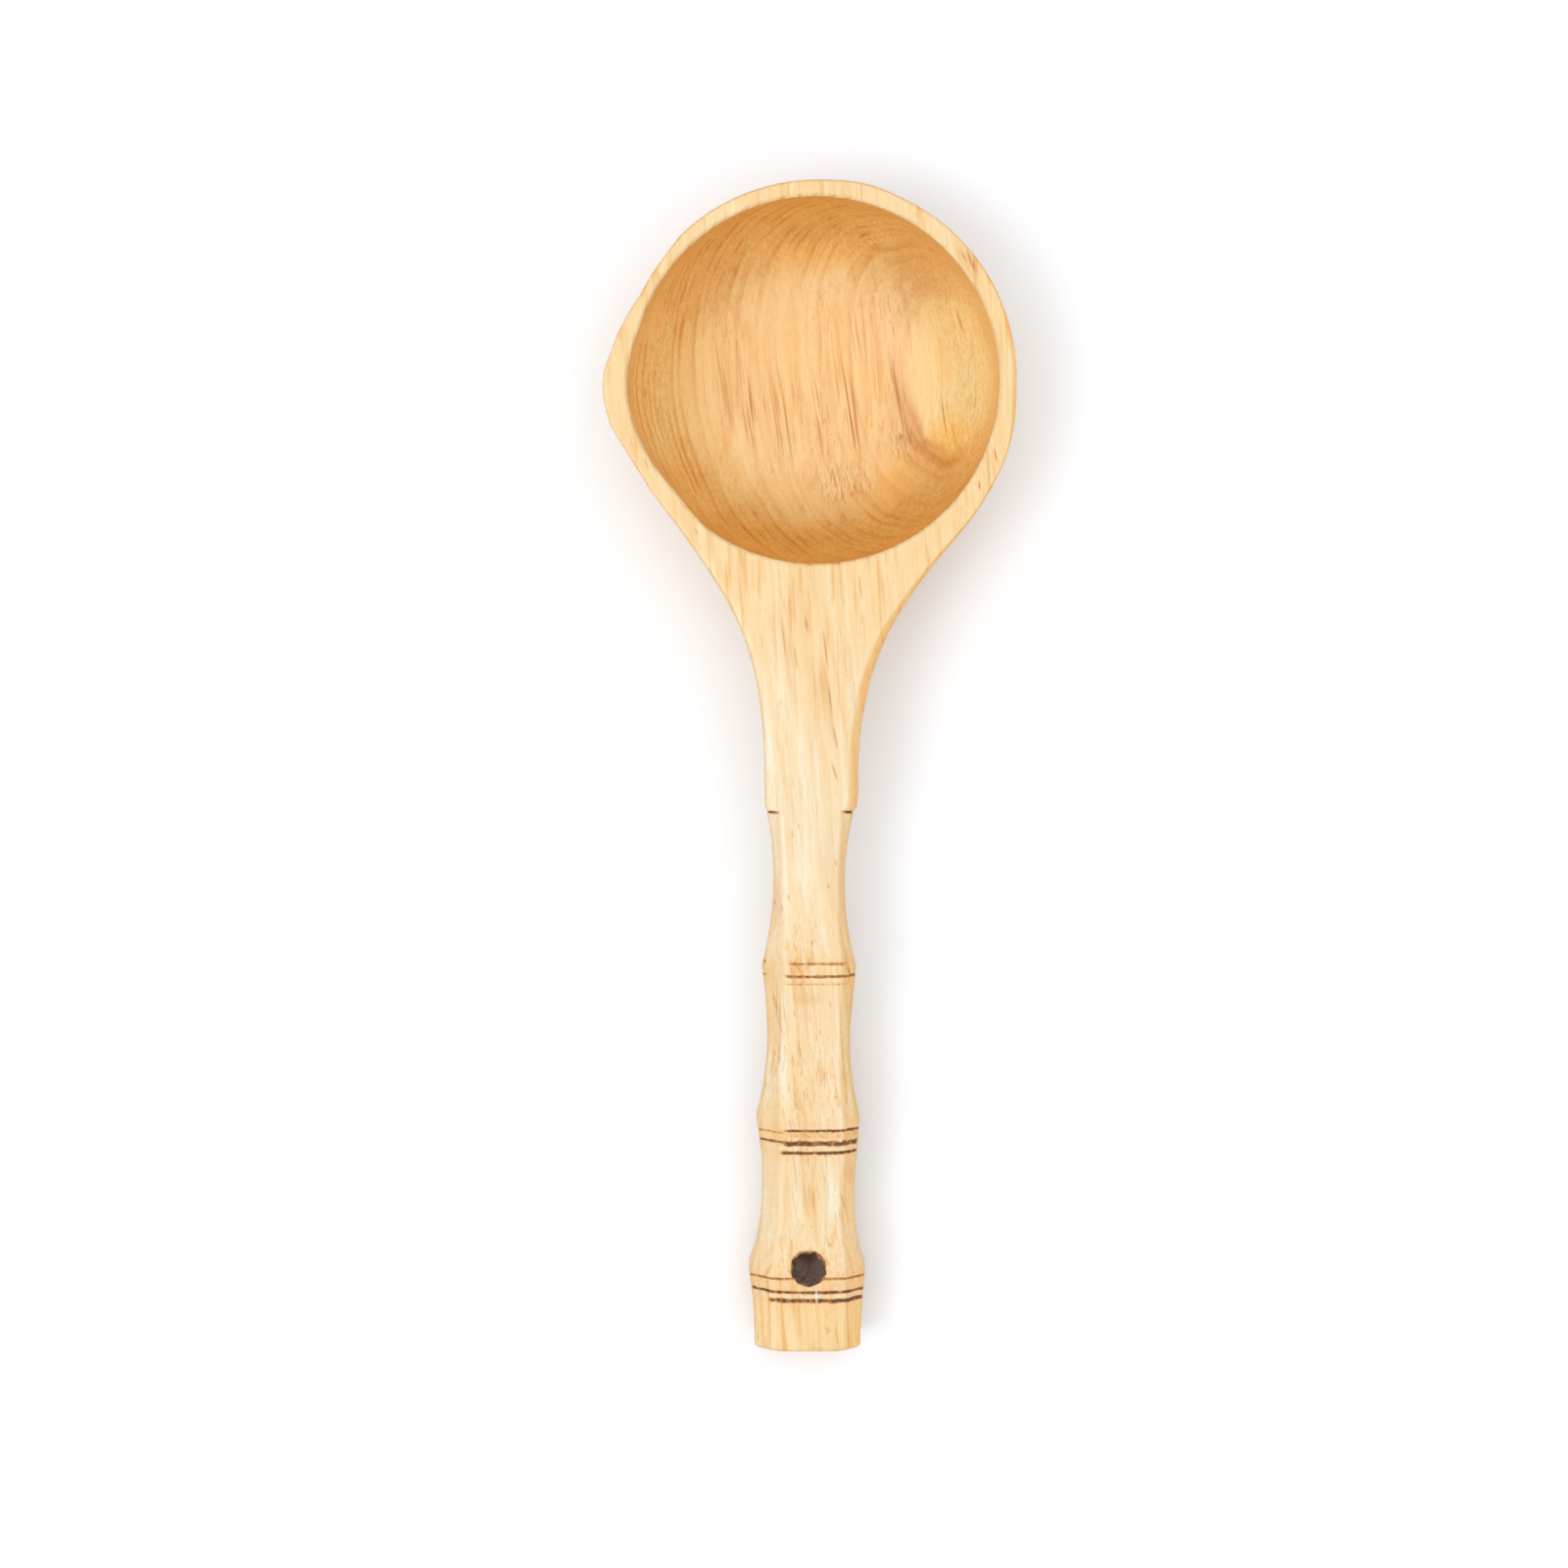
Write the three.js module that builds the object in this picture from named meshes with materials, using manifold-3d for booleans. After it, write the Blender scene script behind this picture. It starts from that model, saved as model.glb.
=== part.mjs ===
// Wooden water ladle: a hollowed bowl with a pouring lip and a neck, a handle carved like a bamboo cane,
// and the wooden peg that locks the handle's tenon in the neck.
//
// Millimetres, +Z up. The ladle lies as it does on a table, on its foot and the end of its handle, at Z = 0.
// The origin is the centre of the foot. The handle runs towards -Y and the pouring lip points towards -X.

import * as THREE from 'three';
import { mergeVertices } from 'three/addons/utils/BufferGeometryUtils.js';
import Module from 'manifold-3d';

const { clamp, degToRad, lerp, smoothstep } = THREE.MathUtils;

// Bowl
const MOUTH_DIAMETER = 100;
const BOWL_DEPTH = 36;
const FLOOR_THICKNESS = 6;
const RIM_WIDTH = 3.3;
const FOOT_DIAMETER = 46;
const OUTSIDE_FULLNESS = 2.3;
const HOLLOW_FULLNESS = 2.7;
const HOLLOW_SHIFT_X = -0.65;
const HOLLOW_SHIFT_Y = -0.5;

// Pouring lip
const LIP_REACH = 4.6;
const LIP_TIP_RADIUS = 20;
const LIP_DIRECTION = degToRad(183.5);
const LIP_CHANNEL_DEPTH = 1.4;
const LIP_CHANNEL_HALF_ANGLE = degToRad(24);

// Neck
const SHOULDER_DISTANCE = 116;
const NECK_WIDTH = 25.2;
const NECK_THICKNESS = 17.5;
const NECK_ROOT_THICKNESS = 21;
const NECK_FULLNESS = 4;
const NECK_SHIFT_X = -1.8;
const NECK_STRAIGHT_LENGTH = 8;
const BEND_DISTANCE = 62;
const ROOT_BLEND = 26;
const FLARE_START_RIGHT = degToRad(-3);
const FLARE_BOWL_PULL_RIGHT = 48.5;
const FLARE_NECK_PULL_RIGHT = 62;
const FLARE_BOWL_PULL_LEFT = 34;
const FLARE_NECK_PULL_LEFT = 44;

// Handle: from each node to the next it narrows to a waist, measured from the node towards the end
const FIRST_STRETCH = {
  length: 43.3,
  width: 23.6,
  waistAt: 19.2,
  waistWidth: 19.4,
  waistThickness: 15.5,
};
const SECOND_STRETCH = {
  length: 41.3,
  width: 25.6,
  thickness: 19.5,
  waistAt: 18.8,
  waistWidth: 22.5,
  waistThickness: 17.5,
};
const THIRD_STRETCH = {
  length: 41.1,
  width: 28.2,
  thickness: 21.5,
  waistAt: 16.9,
  waistWidth: 25.6,
  waistThickness: 19.8,
};
const END_BLOCK = {
  length: 22.4,
  width: 32.1,
  thickness: 24.5,
  endWidth: 29,
  endThickness: 22.6,
};

// Scored lines round the nodes, each measured from its node towards the end
const SECOND_NODE_UPPER_LINE = { at: -1.4, width: 1.2, depth: 0.4 };
const SECOND_NODE_LOWER_LINE = { at: 1.8, width: 1.4, depth: 0.5 };
const THIRD_NODE_UPPER_LINE = { at: 3, width: 1.2, depth: 0.4 };
const THIRD_NODE_MIDDLE_LINE = { at: 6.8, width: 1.6, depth: 0.7 };
const THIRD_NODE_LOWER_LINE = { at: 9.2, width: 1.4, depth: 0.7 };
const END_NODE_UPPER_LINE = { at: 3, width: 1.2, depth: 0.4 };
const END_NODE_MIDDLE_LINE = { at: 7, width: 1.6, depth: 0.6 };
const END_NODE_LOWER_LINE = { at: 9.4, width: 1.6, depth: 0.7 };

// Knife facets, ends and lean of the handle
const FACET_TOP_LEFT = { width: 5.5, height: 5 };
const FACET_TOP_RIGHT = { width: 3.4, height: 4 };
const FACET_UNDER = { width: 5, height: 5 };
const END_ROUNDING = 1.8;
const REST_FLAT_DEPTH = 0.6;
const HANDLE_LEAN_X = -0.9;

// Hanging hole
const HOLE_DIAMETER = 9.8;
const HOLE_FROM_END = 23.4;
const HOLE_SHIFT_X = 0;

// Joint of handle and neck
const TENON_DIAMETER = 10;
const TENON_LENGTH = 24;
const PEG_DIAMETER = 4.5;
const PEG_FROM_SHOULDER = 12;
const PEG_OVERRUN = 1.2;
const CLEARANCE = 0.3;

// Steps of the curved surfaces, and how far a cutter runs past what it cuts
const OUTLINE_STEPS = 40;
const STATION_STEP = 3;
const FRONT_STEPS = 10;
const FRONT_FIRST_ANGLE = degToRad(1);
const FRONT_LAST_ANGLE = degToRad(60);
const SIDE_STEPS = 10;
const HOLLOW_STEPS = 11;
const HOLLOW_LAST_ANGLE = degToRad(88);
const HOLLOW_SIDES = 64;
const HANDLE_STEP = 3.5;
const END_ROUNDING_STEPS = 3;
const ROUND_SIDES = 32;
const OVERCUT = 2;

const wasm = await Module();
wasm.setup();

// The stretches of the handle in order, each with the lines scored at the node that it starts from
const stretches = [
  { ...FIRST_STRETCH, thickness: NECK_THICKNESS, lines: [] },
  { ...SECOND_STRETCH, lines: [SECOND_NODE_UPPER_LINE, SECOND_NODE_LOWER_LINE] },
  { ...THIRD_STRETCH, lines: [THIRD_NODE_UPPER_LINE, THIRD_NODE_MIDDLE_LINE, THIRD_NODE_LOWER_LINE] },
];
const endLines = [END_NODE_UPPER_LINE, END_NODE_MIDDLE_LINE, END_NODE_LOWER_LINE];

// Sizes that follow from the driving dimensions
const rimHeight = BOWL_DEPTH + FLOOR_THICKNESS;
const mouthRadius = MOUTH_DIAMETER / 2;
const bowlRadius = mouthRadius + RIM_WIDTH;
const bendLength = SHOULDER_DISTANCE - BEND_DISTANCE;
const endBlockAt = stretches.reduce((sum, stretch) => sum + stretch.length, 0);
const handleLength = endBlockAt + END_BLOCK.length;
const socketDiameter = TENON_DIAMETER + 2 * CLEARANCE;
const pegHoleDiameter = PEG_DIAMETER + 2 * CLEARANCE;

// The handle falls so far that the underside of its end comes down to the level of the foot.
const handleDrop = rimHeight - NECK_THICKNESS / 2 - END_BLOCK.endThickness / 2 + REST_FLAT_DEPTH;
const slope = handleDrop / (bendLength / 2 + handleLength);
const shoulderTop = rimHeight - (slope * bendLength) / 2;
const shoulderMiddle = shoulderTop - NECK_THICKNESS / 2;

// A closed surface through rings of points, with a flat cap on the first and the last ring.
function loft(rings) {
  const count = rings[0].length;
  const triangles = [];
  for (let i = 0; i + 1 < rings.length; i += 1) {
    for (let k = 0; k < count; k += 1) {
      const a = i * count + k;
      const b = i * count + ((k + 1) % count);
      triangles.push(a, b + count, b, a, a + count, b + count);
    }
  }
  const last = (rings.length - 1) * count;
  for (let k = 1; k + 1 < count; k += 1) {
    triangles.push(0, k, k + 1);
    triangles.push(last, last + k + 1, last + k);
  }
  const geometry = new THREE.BufferGeometry();
  geometry.setFromPoints(rings.flat());
  geometry.setIndex(triangles);
  return geometry;
}

function toSolid(geometry) {
  const plain = geometry.clone();
  plain.deleteAttribute('normal');
  plain.deleteAttribute('uv');
  const merged = mergeVertices(plain);
  return new wasm.Manifold(new wasm.Mesh({
    numProp: 3,
    vertProperties: new Float32Array(merged.attributes.position.array),
    triVerts: new Uint32Array(merged.index.array),
  }));
}

function toGeometry(solid) {
  const mesh = solid.getMesh();
  const geometry = new THREE.BufferGeometry();
  geometry.setAttribute('position', new THREE.BufferAttribute(mesh.vertProperties, 3));
  geometry.setIndex(new THREE.BufferAttribute(mesh.triVerts, 1));
  geometry.computeVertexNormals();
  return geometry;
}

// A round bar whose axis is +Z, between two heights.
function roundBar(diameter, bottom, top) {
  const bar = new THREE.CylinderGeometry(diameter / 2, diameter / 2, top - bottom, ROUND_SIDES);
  bar.rotateX(Math.PI / 2);
  bar.translate(0, 0, (bottom + top) / 2);
  return bar;
}

// Everything below the table, which cuts the foot and the rest of the handle flat.
function belowTable() {
  const span = 4 * (SHOULDER_DISTANCE + handleLength);
  const block = new THREE.BoxGeometry(span, span, span);
  block.translate(0, 0, -span / 2);
  return toSolid(block);
}

// Plan outline of the bowl and neck: the rim circle, the lip drawn as a small circle with its common
// tangents to the rim, and an S-curve on each side from the rim into the straight neck.
function flareTo(side, from, direction, bowlPull, neckPull, neckX) {
  const neckY = -SHOULDER_DISTANCE + NECK_STRAIGHT_LENGTH;
  side.bezierCurveTo(
    from.x + direction.x * bowlPull, from.y + direction.y * bowlPull,
    neckX, neckY + neckPull,
    neckX, neckY,
  );
  side.lineTo(neckX, -SHOULDER_DISTANCE);
  return side.getPoints(OUTLINE_STEPS);
}

function rightSide() {
  const side = new THREE.Path();
  side.absarc(0, 0, bowlRadius, Math.PI / 2, FLARE_START_RIGHT, true);
  const direction = new THREE.Vector2(Math.sin(FLARE_START_RIGHT), -Math.cos(FLARE_START_RIGHT));
  const neckX = NECK_SHIFT_X + NECK_WIDTH / 2;
  const from = side.currentPoint.clone();
  return flareTo(side, from, direction, FLARE_BOWL_PULL_RIGHT, FLARE_NECK_PULL_RIGHT, neckX);
}

function leftSide() {
  const tipDistance = bowlRadius + LIP_REACH - LIP_TIP_RADIUS;
  const tipX = tipDistance * Math.cos(LIP_DIRECTION);
  const tipY = tipDistance * Math.sin(LIP_DIRECTION);
  const tangent = Math.acos((bowlRadius - LIP_TIP_RADIUS) / tipDistance);
  const first = LIP_DIRECTION - tangent;
  const last = LIP_DIRECTION + tangent;
  const side = new THREE.Path();
  side.absarc(0, 0, bowlRadius, Math.PI / 2, first, false);
  side.absarc(tipX, tipY, LIP_TIP_RADIUS, first, last, false);
  side.lineTo(bowlRadius * Math.cos(last), bowlRadius * Math.sin(last));
  const direction = new THREE.Vector2(-Math.sin(last), Math.cos(last));
  const neckX = NECK_SHIFT_X - NECK_WIDTH / 2;
  const from = side.currentPoint.clone();
  return flareTo(side, from, direction, FLARE_BOWL_PULL_LEFT, FLARE_NECK_PULL_LEFT, neckX);
}

// Where an outline that runs from the front of the bowl to the shoulder crosses the line at y.
function crossing(outline, y) {
  const found = outline.findIndex((point, k) => k > 0 && point.y <= y);
  const next = found < 0 ? outline.length - 1 : found;
  const a = outline[next - 1];
  const b = outline[next];
  return lerp(a.x, b.x, (a.y - y) / (a.y - b.y));
}

// Side outline: the level rim that bends down along the neck, and how deep the wood is below it.
function topHeight(y) {
  const past = Math.max(0, -y - BEND_DISTANCE);
  return rimHeight - (slope * past * past) / (2 * bendLength);
}

function roundDepth(distance) {
  const footShare = (FOOT_DIAMETER / 2 / bowlRadius) ** OUTSIDE_FULLNESS;
  const fullDepth = rimHeight / (1 - footShare) ** (1 / OUTSIDE_FULLNESS);
  const share = Math.min(1, Math.abs(distance) / bowlRadius) ** OUTSIDE_FULLNESS;
  return fullDepth * (1 - share) ** (1 / OUTSIDE_FULLNESS);
}

function woodDepth(y) {
  const bowl = roundDepth(y);
  if (y >= 0) return bowl;
  const along = clamp((-y - bowlRadius) / (SHOULDER_DISTANCE - bowlRadius), 0, 1);
  const neck = lerp(NECK_ROOT_THICKNESS, NECK_THICKNESS, along);
  const overlap = Math.max(0, ROOT_BLEND - Math.abs(bowl - neck)) / ROOT_BLEND;
  return Math.max(bowl, neck) + (overlap * overlap * ROOT_BLEND) / 4;
}

// Cross-section of the bowl and neck at y: a flat top and a rounded underside.
function bodySection(y, left, right) {
  const keel = NECK_SHIFT_X * smoothstep(-y, 0, BEND_DISTANCE);
  const toNeck = smoothstep(-y, bowlRadius - ROOT_BLEND, bowlRadius + ROOT_BLEND);
  const power = 2 / lerp(OUTSIDE_FULLNESS, NECK_FULLNESS, toNeck);
  const top = topHeight(y);
  const depth = woodDepth(y);
  const rightPoints = [];
  const leftPoints = [];
  for (let k = 0; k <= SIDE_STEPS; k += 1) {
    const angle = (k / SIDE_STEPS) * (Math.PI / 2);
    const across = k === SIDE_STEPS ? 0 : Math.cos(angle) ** power;
    const z = top - depth * Math.sin(angle) ** power;
    rightPoints.push(new THREE.Vector3(keel + (right - keel) * across, y, z));
    if (k < SIDE_STEPS) leftPoints.unshift(new THREE.Vector3(keel + (left - keel) * across, y, z));
  }
  return [...rightPoints, ...leftPoints];
}

// Stations from the front of the bowl to the shoulder, closer together where the front rounds off.
function bodyStations() {
  const stations = [];
  for (let k = 0; k < FRONT_STEPS; k += 1) {
    const angle = lerp(FRONT_FIRST_ANGLE, FRONT_LAST_ANGLE, k / FRONT_STEPS);
    stations.push(bowlRadius * Math.cos(angle));
  }
  const start = bowlRadius * Math.cos(FRONT_LAST_ANGLE);
  const steps = Math.round((start + SHOULDER_DISTANCE) / STATION_STEP);
  for (let k = 0; k <= steps; k += 1) {
    stations.push(lerp(start, -SHOULDER_DISTANCE, k / steps));
  }
  return stations;
}

function bodySolid() {
  const left = leftSide();
  const right = rightSide();
  const rings = bodyStations().map((y) => bodySection(y, crossing(left, y), crossing(right, y)));
  return toSolid(loft(rings));
}

// The hollow of the bowl, with the channel that leads to the lip fading out towards the floor.
function hollowSolid() {
  const rings = [];
  for (let level = -1; level <= HOLLOW_STEPS; level += 1) {
    const angle = Math.max(0, level / HOLLOW_STEPS) * HOLLOW_LAST_ANGLE;
    const across = Math.cos(angle) ** (2 / HOLLOW_FULLNESS);
    const down = Math.sin(angle) ** (2 / HOLLOW_FULLNESS);
    const z = level < 0 ? rimHeight + OVERCUT : rimHeight - BOWL_DEPTH * down;
    const ring = [];
    for (let k = 0; k < HOLLOW_SIDES; k += 1) {
      const turn = (k / HOLLOW_SIDES) * 2 * Math.PI;
      const fromLip = Math.min(1, Math.abs(turn - LIP_DIRECTION) / LIP_CHANNEL_HALF_ANGLE);
      const channel = LIP_CHANNEL_DEPTH * Math.cos((fromLip * Math.PI) / 2) ** 2 * Math.cos(angle);
      const radius = mouthRadius * across + channel;
      ring.push(new THREE.Vector3(
        HOLLOW_SHIFT_X + radius * Math.cos(turn),
        HOLLOW_SHIFT_Y + radius * Math.sin(turn),
        z,
      ));
    }
    rings.push(ring);
  }
  return toSolid(loft(rings));
}

// The joint's own frame: its origin in the middle of the shoulder, +Y along the tenon into the neck.
const jointFrame = new THREE.Matrix4().makeRotationX(Math.atan(slope));
jointFrame.setPosition(NECK_SHIFT_X, -SHOULDER_DISTANCE, shoulderMiddle);

function tenonBar(diameter, from, to) {
  const bar = roundBar(diameter, from, to);
  bar.rotateX(-Math.PI / 2);
  return bar.applyMatrix4(jointFrame);
}

function pegBar(diameter, bottom, top) {
  const bar = roundBar(diameter, bottom, top);
  bar.translate(0, PEG_FROM_SHOULDER, 0);
  return bar;
}

// The peg starts flush with the underside of the neck and ends just past the tenon.
const pegY = -SHOULDER_DISTANCE + PEG_FROM_SHOULDER * Math.cos(Math.atan(slope));
const pegMiddle = shoulderMiddle + PEG_FROM_SHOULDER * Math.sin(Math.atan(slope));
const pegBottom = topHeight(pegY) - woodDepth(pegY) - pegMiddle;
const pegTop = TENON_DIAMETER / 2 + PEG_OVERRUN;

function pegHoleSolid() {
  const hole = pegBar(pegHoleDiameter, pegBottom - OVERCUT, pegTop + CLEARANCE);
  return toSolid(hole.applyMatrix4(jointFrame));
}

function bowlGeometry() {
  const socket = toSolid(tenonBar(socketDiameter, -OVERCUT, TENON_LENGTH + CLEARANCE));
  return toGeometry(bodySolid()
    .subtract(belowTable())
    .subtract(hollowSolid())
    .subtract(socket)
    .subtract(pegHoleSolid()));
}

// Nodes and waists in turn along the handle, and the scored lines at their distance from the shoulder.
function handleMarks() {
  const marks = [];
  let reach = 0;
  for (const stretch of stretches) {
    const { waistAt, waistWidth, waistThickness } = stretch;
    marks.push({ at: reach, width: stretch.width, thickness: stretch.thickness, waist: false });
    marks.push({ at: reach + waistAt, width: waistWidth, thickness: waistThickness, waist: true });
    reach += stretch.length;
  }
  const { width, thickness, endWidth, endThickness } = END_BLOCK;
  marks.push({ at: endBlockAt, width, thickness, waist: false });
  marks.push({ at: handleLength, width: endWidth, thickness: endThickness, waist: true });
  return marks;
}

function handleLines() {
  const lines = [];
  let reach = 0;
  for (const stretch of stretches) {
    for (const line of stretch.lines) lines.push({ ...line, at: reach + line.at });
    reach += stretch.length;
  }
  for (const line of endLines) lines.push({ ...line, at: reach + line.at });
  return lines;
}

const marks = handleMarks();
const scoredLines = handleLines();

// Width or thickness: a parabola on each side of a waist.
function handleSize(at, size) {
  const next = Math.max(1, marks.findIndex((mark) => mark.at >= at));
  const pair = [marks[next - 1], marks[next]];
  const waist = pair.find((mark) => mark.waist);
  const node = pair.find((mark) => !mark.waist);
  const share = (at - waist.at) / (node.at - waist.at);
  return waist[size] + (node[size] - waist[size]) * share * share;
}

function handleInset(at) {
  const cuts = scoredLines.map(({ at: centre, width, depth }) => (
    depth * Math.max(0, 1 - Math.abs(at - centre) / (width / 2))
  ));
  const intoRounding = Math.max(0, at - handleLength + END_ROUNDING) / END_ROUNDING;
  return Math.max(...cuts) + END_ROUNDING * (1 - Math.sqrt(1 - intoRounding * intoRounding));
}

// The handle leans a little to the lip's side.
function handleMiddleX(at) {
  return NECK_SHIFT_X + (HANDLE_LEAN_X * at) / handleLength;
}

// Cross-section of the handle: eight knife-cut facets, wider on the top left than on the top right.
function handleSection(at) {
  const y = -SHOULDER_DISTANCE - at;
  const inset = handleInset(at);
  const halfWidth = handleSize(at, 'width') / 2 - inset;
  const halfThickness = handleSize(at, 'thickness') / 2 - inset;
  const middle = shoulderMiddle - slope * at;
  const corners = [
    [halfWidth, halfThickness - FACET_TOP_RIGHT.height],
    [halfWidth, -halfThickness + FACET_UNDER.height],
    [halfWidth - FACET_UNDER.width, -halfThickness],
    [-halfWidth + FACET_UNDER.width, -halfThickness],
    [-halfWidth, -halfThickness + FACET_UNDER.height],
    [-halfWidth, halfThickness - FACET_TOP_LEFT.height],
    [-halfWidth + FACET_TOP_LEFT.width, halfThickness],
    [halfWidth - FACET_TOP_RIGHT.width, halfThickness],
  ];
  return corners.map(([x, z]) => new THREE.Vector3(handleMiddleX(at) + x, y, middle + z));
}

function handleStations() {
  const fixed = [CLEARANCE, ...marks.slice(1).map((mark) => mark.at)];
  for (const { at, width } of scoredLines) fixed.push(at - width / 2, at, at + width / 2);
  for (let k = 0; k < END_ROUNDING_STEPS; k += 1) {
    const turn = (k / END_ROUNDING_STEPS) * (Math.PI / 2);
    fixed.push(handleLength - END_ROUNDING * (1 - Math.sin(turn)));
  }
  const stations = [...fixed];
  for (let at = HANDLE_STEP; at < handleLength; at += HANDLE_STEP) {
    if (fixed.every((other) => Math.abs(other - at) > HANDLE_STEP / 3)) stations.push(at);
  }
  return stations.sort((a, b) => a - b);
}

function handleGeometry() {
  const cane = toSolid(loft(handleStations().map(handleSection)));
  const tenon = toSolid(tenonBar(TENON_DIAMETER, -TENON_LENGTH / 2, TENON_LENGTH));
  const hole = roundBar(HOLE_DIAMETER, -OVERCUT, rimHeight);
  const holeAt = handleLength - HOLE_FROM_END;
  hole.translate(handleMiddleX(holeAt) + HOLE_SHIFT_X, -SHOULDER_DISTANCE - holeAt, 0);
  return toGeometry(cane
    .subtract(belowTable())
    .subtract(toSolid(hole))
    .add(tenon)
    .subtract(pegHoleSolid()));
}

function wood(color, roughness) {
  return new THREE.MeshStandardMaterial({ color, roughness, metalness: 0 });
}

const ladle = new THREE.Group();

const bowl = new THREE.Mesh(bowlGeometry(), wood('#eec389', 0.5));
bowl.name = 'bowl';
ladle.add(bowl);

const handle = new THREE.Mesh(handleGeometry(), wood('#f5d9a8', 0.5));
handle.name = 'handle';
ladle.add(handle);

const joint = new THREE.Group();
joint.applyMatrix4(jointFrame);
ladle.add(joint);

const tenonPeg = new THREE.Mesh(pegBar(PEG_DIAMETER, pegBottom, pegTop), wood('#d9a866', 0.6));
tenonPeg.name = 'tenon_peg';
joint.add(tenonPeg);

export default ladle;
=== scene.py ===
# %% [markdown]
# # A wooden water ladle
# The real ladle is pale, close-grained wood: a bowl hollowed on a lathe with a pouring lip, a flat neck,
# and a handle whittled to look like a bamboo cane, with lines burnt into its nodes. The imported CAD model
# gives each piece its place and size. This lesson makes the same pieces with a finer surface and a wood
# finish.

import math

import bmesh
import bpy
import numpy as np
from mathutils import Matrix, Vector


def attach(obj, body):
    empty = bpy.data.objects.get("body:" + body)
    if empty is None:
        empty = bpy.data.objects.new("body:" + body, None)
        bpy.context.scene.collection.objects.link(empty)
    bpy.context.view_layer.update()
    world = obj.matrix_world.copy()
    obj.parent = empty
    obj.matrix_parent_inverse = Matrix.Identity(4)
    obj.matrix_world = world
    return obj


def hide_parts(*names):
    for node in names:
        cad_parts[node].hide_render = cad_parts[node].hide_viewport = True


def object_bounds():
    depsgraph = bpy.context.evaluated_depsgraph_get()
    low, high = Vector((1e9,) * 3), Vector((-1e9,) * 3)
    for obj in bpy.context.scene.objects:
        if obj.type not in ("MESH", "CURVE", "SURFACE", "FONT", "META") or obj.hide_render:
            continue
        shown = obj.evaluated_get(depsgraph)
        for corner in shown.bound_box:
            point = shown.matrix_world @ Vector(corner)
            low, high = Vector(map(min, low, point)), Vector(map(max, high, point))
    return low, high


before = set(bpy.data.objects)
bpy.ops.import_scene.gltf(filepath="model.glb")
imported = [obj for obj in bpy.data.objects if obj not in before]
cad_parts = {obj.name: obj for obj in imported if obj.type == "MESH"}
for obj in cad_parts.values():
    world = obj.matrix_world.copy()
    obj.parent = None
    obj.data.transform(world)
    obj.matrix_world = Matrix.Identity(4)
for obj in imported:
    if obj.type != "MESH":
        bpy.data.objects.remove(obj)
cad_low, cad_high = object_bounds()
MM = 0.001
print("CAD box in mm:", [round(v / MM, 1) for v in (*cad_low, *cad_high)])

# %% [markdown]
# ## Camera
# The picture was taken from straight above: the mouth of the bowl is a true circle in it. So the camera
# looks straight down, with the handle towards the bottom of the picture. The mouth's size in pixels gives
# the scale.

# %% Camera
PICTURE_WIDTH = 1600
MOUTH_PIXELS = 381
MOUTH_PIXEL_X = 832.5
MOUTH_PIXEL_Y = 387.5
CAMERA_ABOVE_RIM = 1000
SENSOR_WIDTH = 36
MOUTH_DIAMETER = 100
HOLLOW_SHIFT_X = -0.65
HOLLOW_SHIFT_Y = -0.5


def show(name, data):
    """Puts a camera, a lamp or a mesh into the scene."""
    thing = bpy.data.objects.new(name, data)
    bpy.context.scene.collection.objects.link(thing)
    return thing


rim_height = cad_high.z / MM
mm_per_pixel = MOUTH_DIAMETER / MOUTH_PIXELS
camera_x = HOLLOW_SHIFT_X + (PICTURE_WIDTH / 2 - MOUTH_PIXEL_X) * mm_per_pixel
camera_y = HOLLOW_SHIFT_Y - (PICTURE_WIDTH / 2 - MOUTH_PIXEL_Y) * mm_per_pixel
camera = show("overhead_camera", bpy.data.cameras.new("overhead_camera"))
camera.data.sensor_width = SENSOR_WIDTH
camera.data.lens = SENSOR_WIDTH * CAMERA_ABOVE_RIM / (PICTURE_WIDTH * mm_per_pixel)
camera.location = Vector((camera_x, camera_y, rim_height + CAMERA_ABOVE_RIM)) * MM
bpy.context.scene.camera = camera
bpy.context.scene.view_settings.view_transform = "Standard"
print(f"lens {camera.data.lens:.1f} mm, {mm_per_pixel:.4f} mm for a pixel at the rim")

# %% [markdown]
# ## Sizes of the bowl and neck
# These are the driving sizes of the CAD model, in millimetres. The frame gives the rest: the rim is the top
# of the CAD box, and the foot stands at zero.

# %% Sizes of the bowl and neck
BOWL_DEPTH = 36
RIM_WIDTH = 3.3
FOOT_DIAMETER = 46
OUTSIDE_FULLNESS = 2.3
HOLLOW_FULLNESS = 2.7
LIP_REACH = 4.6
LIP_TIP_RADIUS = 20
LIP_DIRECTION = math.radians(183.5)
LIP_CHANNEL_DEPTH = 1.4
LIP_CHANNEL_HALF_ANGLE = math.radians(24)
SHOULDER_DISTANCE = 116
NECK_WIDTH = 25.2
NECK_THICKNESS = 17.5
NECK_ROOT_THICKNESS = 21
NECK_FULLNESS = 4
NECK_SHIFT_X = -1.8
NECK_STRAIGHT_LENGTH = 8
BEND_DISTANCE = 62
ROOT_BLEND = 26
FLARE_START_RIGHT = math.radians(-3)
FLARE_PULLS_RIGHT = (48.5, 62)
FLARE_PULLS_LEFT = (34, 44)
HANDLE_LENGTH = 148.1
HANDLE_END_THICKNESS = 22.6
REST_FLAT_DEPTH = 0.6

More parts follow.
